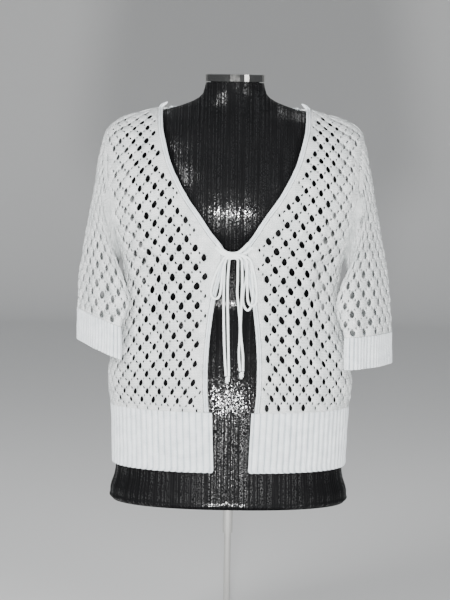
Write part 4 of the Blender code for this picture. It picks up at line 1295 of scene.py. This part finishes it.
def even_columns(start, end, height, count):
    """Angles from start to end that lie evenly along the garment at a height."""
    angles = start + (end - start) * np.linspace(0, 1, 400)
    points = worn(angles, height)
    lengths = np.r_[0, np.cumsum(np.linalg.norm(np.diff(points, axis=0), axis=1))]
    return np.interp(np.linspace(0, lengths[-1], count), lengths, angles)


def hem_ribs(material):
    """The hem's three bands; the fronts' lower inner corners are rounded."""
    low = HEM_BOTTOM + np.array([0.0, 0.0005, 0.0014, 0.0028])
    heights = np.r_[low, np.linspace(HEM_BOTTOM + HEM_CORNER, HEM_TOP - TRIM, 15)]
    rounding = 1 - np.sqrt(1 - np.clip(1 - (heights - HEM_BOTTOM) / HEM_CORNER, 0, 1) ** 2)
    seam = math.pi / 2 - SEAM_ANGLE
    count = FRONT_RIBS * RIB_STEPS + 1
    ribs = []
    for name, side, *_ in ARMS:
        starts = hem_edge_angle(side, heights) + rounding * HEM_CORNER / FRONT_REACH
        grid = [worn(side * even_columns(start, seam, h, count), h) for start, h in zip(starts, heights)]
        piece = ribbed(f"rib_hem_front_{name}", np.stack(grid, 1), FRONT_RIBS, side, material, 12 + side)
        ribs.append(finished(piece, "knit", f"hem_front_{name}"))
    start, end, count = math.pi / 2 + SEAM_ANGLE, 1.5 * math.pi - SEAM_ANGLE, BACK_RIBS * RIB_STEPS + 1
    grid = [worn(even_columns(start, end, h, count), h) for h in heights]
    piece = ribbed("rib_hem_back", np.stack(grid, 1), BACK_RIBS, 1, material, 15)
    ribs.append(finished(piece, "knit", "hem_back"))
    return ribs


def cuffs(material):
    """The bands that hang from the sleeves' ends."""
    ribs = []
    for arm in ARMS:
        name, side = arm[:2]
        turns = np.linspace(-math.pi, math.pi, CUFF_RIBS * RIB_STEPS + 1)
        top = ring_points(arm, STATIONS[-1], turns)
        levels = np.linspace(CUFF_LENGTH, 0.0006, 10)
        grid = np.stack([top - [0, 0, z] for z in levels], 1) * [side, 1, 1]
        piece = ribbed(f"rib_cuff_{name}", grid, CUFF_RIBS, -side, material, 20 + side)
        ribs.append(finished(piece, "knit", f"cuff_{name}"))
    return ribs


def roll(name, line, outward, sideways, material, node, tips=(False, False)):
    """A double rolled edge along a line: two soft tubes side by side with a groove between them."""
    sides = 20
    # Cloth coordinates run one millimetre a side, so that the rib material's painted groove shade falls along
    # the groove between the two tubes, outside and inside
    side_width = 0.001
    points, uv = [], []
    lengths = np.r_[0, np.cumsum(np.linalg.norm(np.diff(line, axis=0), axis=1))]
    count = len(line)
    for i, (p, out, across) in enumerate(zip(line, outward, sideways)):
        near = min(i if tips[0] else 9, count - 1 - i if tips[1] else 9)
        taper = math.sqrt(1 - (1 - min(1.0, (near + 0.8) / 4)) ** 2)
        for k in range(sides):
            turn = 2 * math.pi * k / sides
            pinch = 1 - 0.42 * math.exp(-((math.cos(turn) / 0.30) ** 2))
            ripple = 1 + 0.035 * math.sin(lengths[i] * 2 * math.pi / 0.0032)
            x = BAND_HALF_WIDTH * math.cos(turn) * ripple * taper
            y = BAND_HALF_THICKNESS * math.sin(turn) * pinch * ripple * taper
            points.append(tuple(p + across * x + out * y))
            uv.append((k * side_width, lengths[i]))
    faces = [(b, a, a + sides, b + sides) for a, b in ring_pairs(count, sides)]
    faces.append(tuple(range(sides)))
    faces.append(tuple(range(len(points) - 1, len(points) - 1 - sides, -1)))
    piece = smooth_piece(name, points, faces, material)
    mesh = piece.data
    layer = mesh.uv_layers.new(name="cloth")
    for face in mesh.polygons:
        corners = [mesh.loops[k].vertex_index for k in face.loop_indices]
        last = any(v % sides == sides - 1 for v in corners)
        for k, v in zip(face.loop_indices, corners):
            round_again = sides * side_width if last and v % sides == 0 else uv[v][0]
            layer.data[k].uv = (round_again, uv[v][1])
    return finished(piece, "knit", node)


def band_line(angle, height):
    """Where a rolled edge lies beside the cloth's edge, with its outward and sideways directions."""
    points = worn(angle, height)
    out = worn_normals(angle, height)
    along = unit(np.gradient(points, axis=0))
    across = unit(np.cross(out, along))
    line = points + across * (BAND_HALF_WIDTH + SEAM_GAP) - out * (WALL / 2)
    return line, out, across


def bands(material):
    """The rolled edges, by the name of the panel that each goes with; the fronts' end in small ears."""
    heights = np.linspace(HEM_TOP, NECK_POINT - TRIM, 190)
    made = {}
    for name, side, *_ in ARMS:
        angle = front_edge_angle(side, heights) * side
        order = slice(None, None, side)
        line, out, across = band_line(angle[order], heights[order])
        ear = np.arange(1, 9)[:, None] / 8
        bent = np.array([-0.0050 * side, 0.0002, 0.0100]) * ear
        bent = bent + np.array([-0.0040 * side, 0, -0.0015]) * ear * ear
        end = -1 if side > 0 else 0
        tip = [line[end] + bent, np.repeat(out[end][None], 8, 0), np.repeat(across[end][None], 8, 0)]
        if side > 0:
            line, out, across = (np.concatenate([v, t]) for v, t in zip((line, out, across), tip))
        else:
            line, out, across = (np.concatenate([t[::-1], v]) for v, t in zip((line, out, across), tip))
        tips = (side < 0, side > 0)
        band = roll(f"rolled_band_{name}", line, out, across, material, f"band_{name}", tips)
        made[f"lace_front_{name}"] = band
    turn = np.linspace(1.5 * math.pi - 0.16, math.pi / 2 + 0.16, 90)[::-1]
    line, out, across = band_line(turn, back_neck_height(turn))
    made["lace_back"] = roll("rolled_band_back_neck", line, out, across, material, "band_back_neck")
    return made


def torso(material):
    """The covered form: a rolled lower hem, and a front drawn in a little at two heights.

    The hollows lie inside the solid and bring the glitter lower, as the photograph shows it.
    """
    angles = np.linspace(0, 2 * math.pi, 181)[:-1]
    low = [0.2208, 0.2222, 0.2238, 0.2253, 0.2268, 0.2283, 0.2300]
    heights = np.r_[low, np.linspace(0.233, 0.870, 108), 0.878, 0.887]
    grid = section_points(FORM, angles[:, None], heights[None, :])
    hem = 0.0016 * np.exp(-(((heights - 0.2268) / 0.0024) ** 2))[None, :, None]
    out = unit(grid * [1, 1, 0])
    hollow = 0.0040 * np.exp(-(((heights - 0.695) / 0.035) ** 2))
    hollow = (hollow + 0.0050 * np.exp(-(((heights - 0.535) / 0.038) ** 2)))[None, :, None]
    grid = grid + out * (hem - hollow * np.clip(-out[:, :, 1:2], 0, 1) ** 2)
    columns, rows = grid.shape[:2]
    faces = grid_faces(columns, rows).tolist()
    last = (columns - 1) * rows
    faces += [(last + r, r, r + 1, last + r + 1) for r in range(rows - 1)]
    faces.append(tuple(c * rows for c in reversed(range(columns))))
    faces.append(tuple(c * rows + rows - 1 for c in range(columns)))
    piece = smooth_piece("covered_torso", grid.reshape(-1, 3).tolist(), faces, material)
    piece.data.set_sharp_from_angle(angle=math.radians(60))
    finished(piece, "form_cover", "form_torso")


def stud(material):
    """The small bright pin that holds the cover's hem at the front."""
    x, y, z = -0.0030, -0.1152, 0.2335
    rings = [(0.0026, 0.0), (0.0026, 0.0010), (0.0020, 0.0019), (0.0009, 0.0024)]
    sides = 20
    turns = [2 * math.pi * k / sides for k in range(sides)]
    points = [(x + r * math.cos(t), y - rise, z + r * math.sin(t)) for r, rise in rings for t in turns]
    count = len(points)
    faces = [tuple(range(sides)), tuple(range(count - 1, count - 1 - sides, -1))]
    faces += [(b, a, a + sides, b + sides) for a, b in ring_pairs(len(rings), sides)]
    finished(smooth_piece("cover_pin", points, faces, material), "chrome", "form_torso")


# Studio


def area_light(name, place, aim_height, size, power):
    """A round lamp that looks at a height of the middle."""
    data = bpy.data.lights.new(name, "AREA")
    data.shape = "DISK"
    data.size = size
    data.energy = power
    light = bpy.data.objects.new(name, data)
    light.location = place
    aim = Vector((0, 0, aim_height))
    light.rotation_euler = (aim - Vector(place)).to_track_quat("-Z", "Y").to_euler()
    bpy.context.scene.collection.objects.link(light)


def studio():
    """Pale paper that curves up behind, a soft sky, and four lamps."""
    wide, wall, bend = 6.0, 5.0, 1.2
    profile = [(-wide, 0.0), (wall, 0.0)]
    turns = np.linspace(0.08, math.pi / 2, 16)
    profile += [(wall + bend * math.sin(a), bend - bend * math.cos(a)) for a in turns]
    profile.append((wall + bend, wide))
    points = [(x, y, z) for y, z in profile for x in (-wide, wide)]
    faces = [(2 * k, 2 * k + 1, 2 * k + 3, 2 * k + 2) for k in range(len(profile) - 1)]
    smooth_piece("paper", points, faces, floor_material())
    world = bpy.data.worlds.new("studio_air")
    world.use_nodes = True
    air = world.node_tree
    look = add(air, PARTS, None, add(air, PLACE).outputs["Generated"])
    rise = add(air, RANGE, SMOOTH, Value=look.outputs[2], From_Min=-0.1, From_Max=0.55)
    shade = add(air, MIX, COLOURS, rise, (0.13, 0.135, 0.14, 1), (0.92, 0.95, 0.99, 1))
    feed(air, air.nodes["Background"], Color=shade, Strength=0.46)
    bpy.context.scene.world = world
    area_light("window", (-2.1, -2.4, 2.5), 0.60, 1.7, 110)
    area_light("fill", (2.2, -2.4, 1.6), 0.55, 1.4, 36)
    area_light("front", (-0.05, -3.2, 0.42), 0.60, 0.16, 178)
    area_light("back", (0.3, 1.0, 2.6), 0.7, 1.2, 9)


# The scene, camera and cords first

make_camera()
cord_paint = cord_material()
make_cords(cord_paint)
make_bow_knot(cord_paint)
knit = knit_material()
rib = rib_material()
tiles = []
for mirror in (False, True):
    for first in range(3):
        for second in range(3):
            tiles.append(tile_object(f"lace_{first}{second}{int(mirror)}", first, second, mirror))
tree = lay_tree(tiles)
sheets = [back_panel(tree, knit)]
for arm in ARMS:
    sheets.append(front_panel(arm, tree, knit))
    sheets.append(sleeve(arm, tree, knit))
ribs = hem_ribs(rib) + cuffs(rib)
edges = bands(rib)
torso(cover_material())
chrome = chrome_material()
stud(chrome)
steel = steel_material()
# The chrome parts and the base keep the solids' own shapes
finishes = {"neck_cap": chrome, "pole": chrome, "pole_collar": chrome, "base": steel}
for node, paint in finishes.items():
    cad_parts[node].data.materials.clear()
    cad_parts[node].data.materials.append(paint)
for tile in tiles:
    bpy.data.objects.remove(tile)
studio()
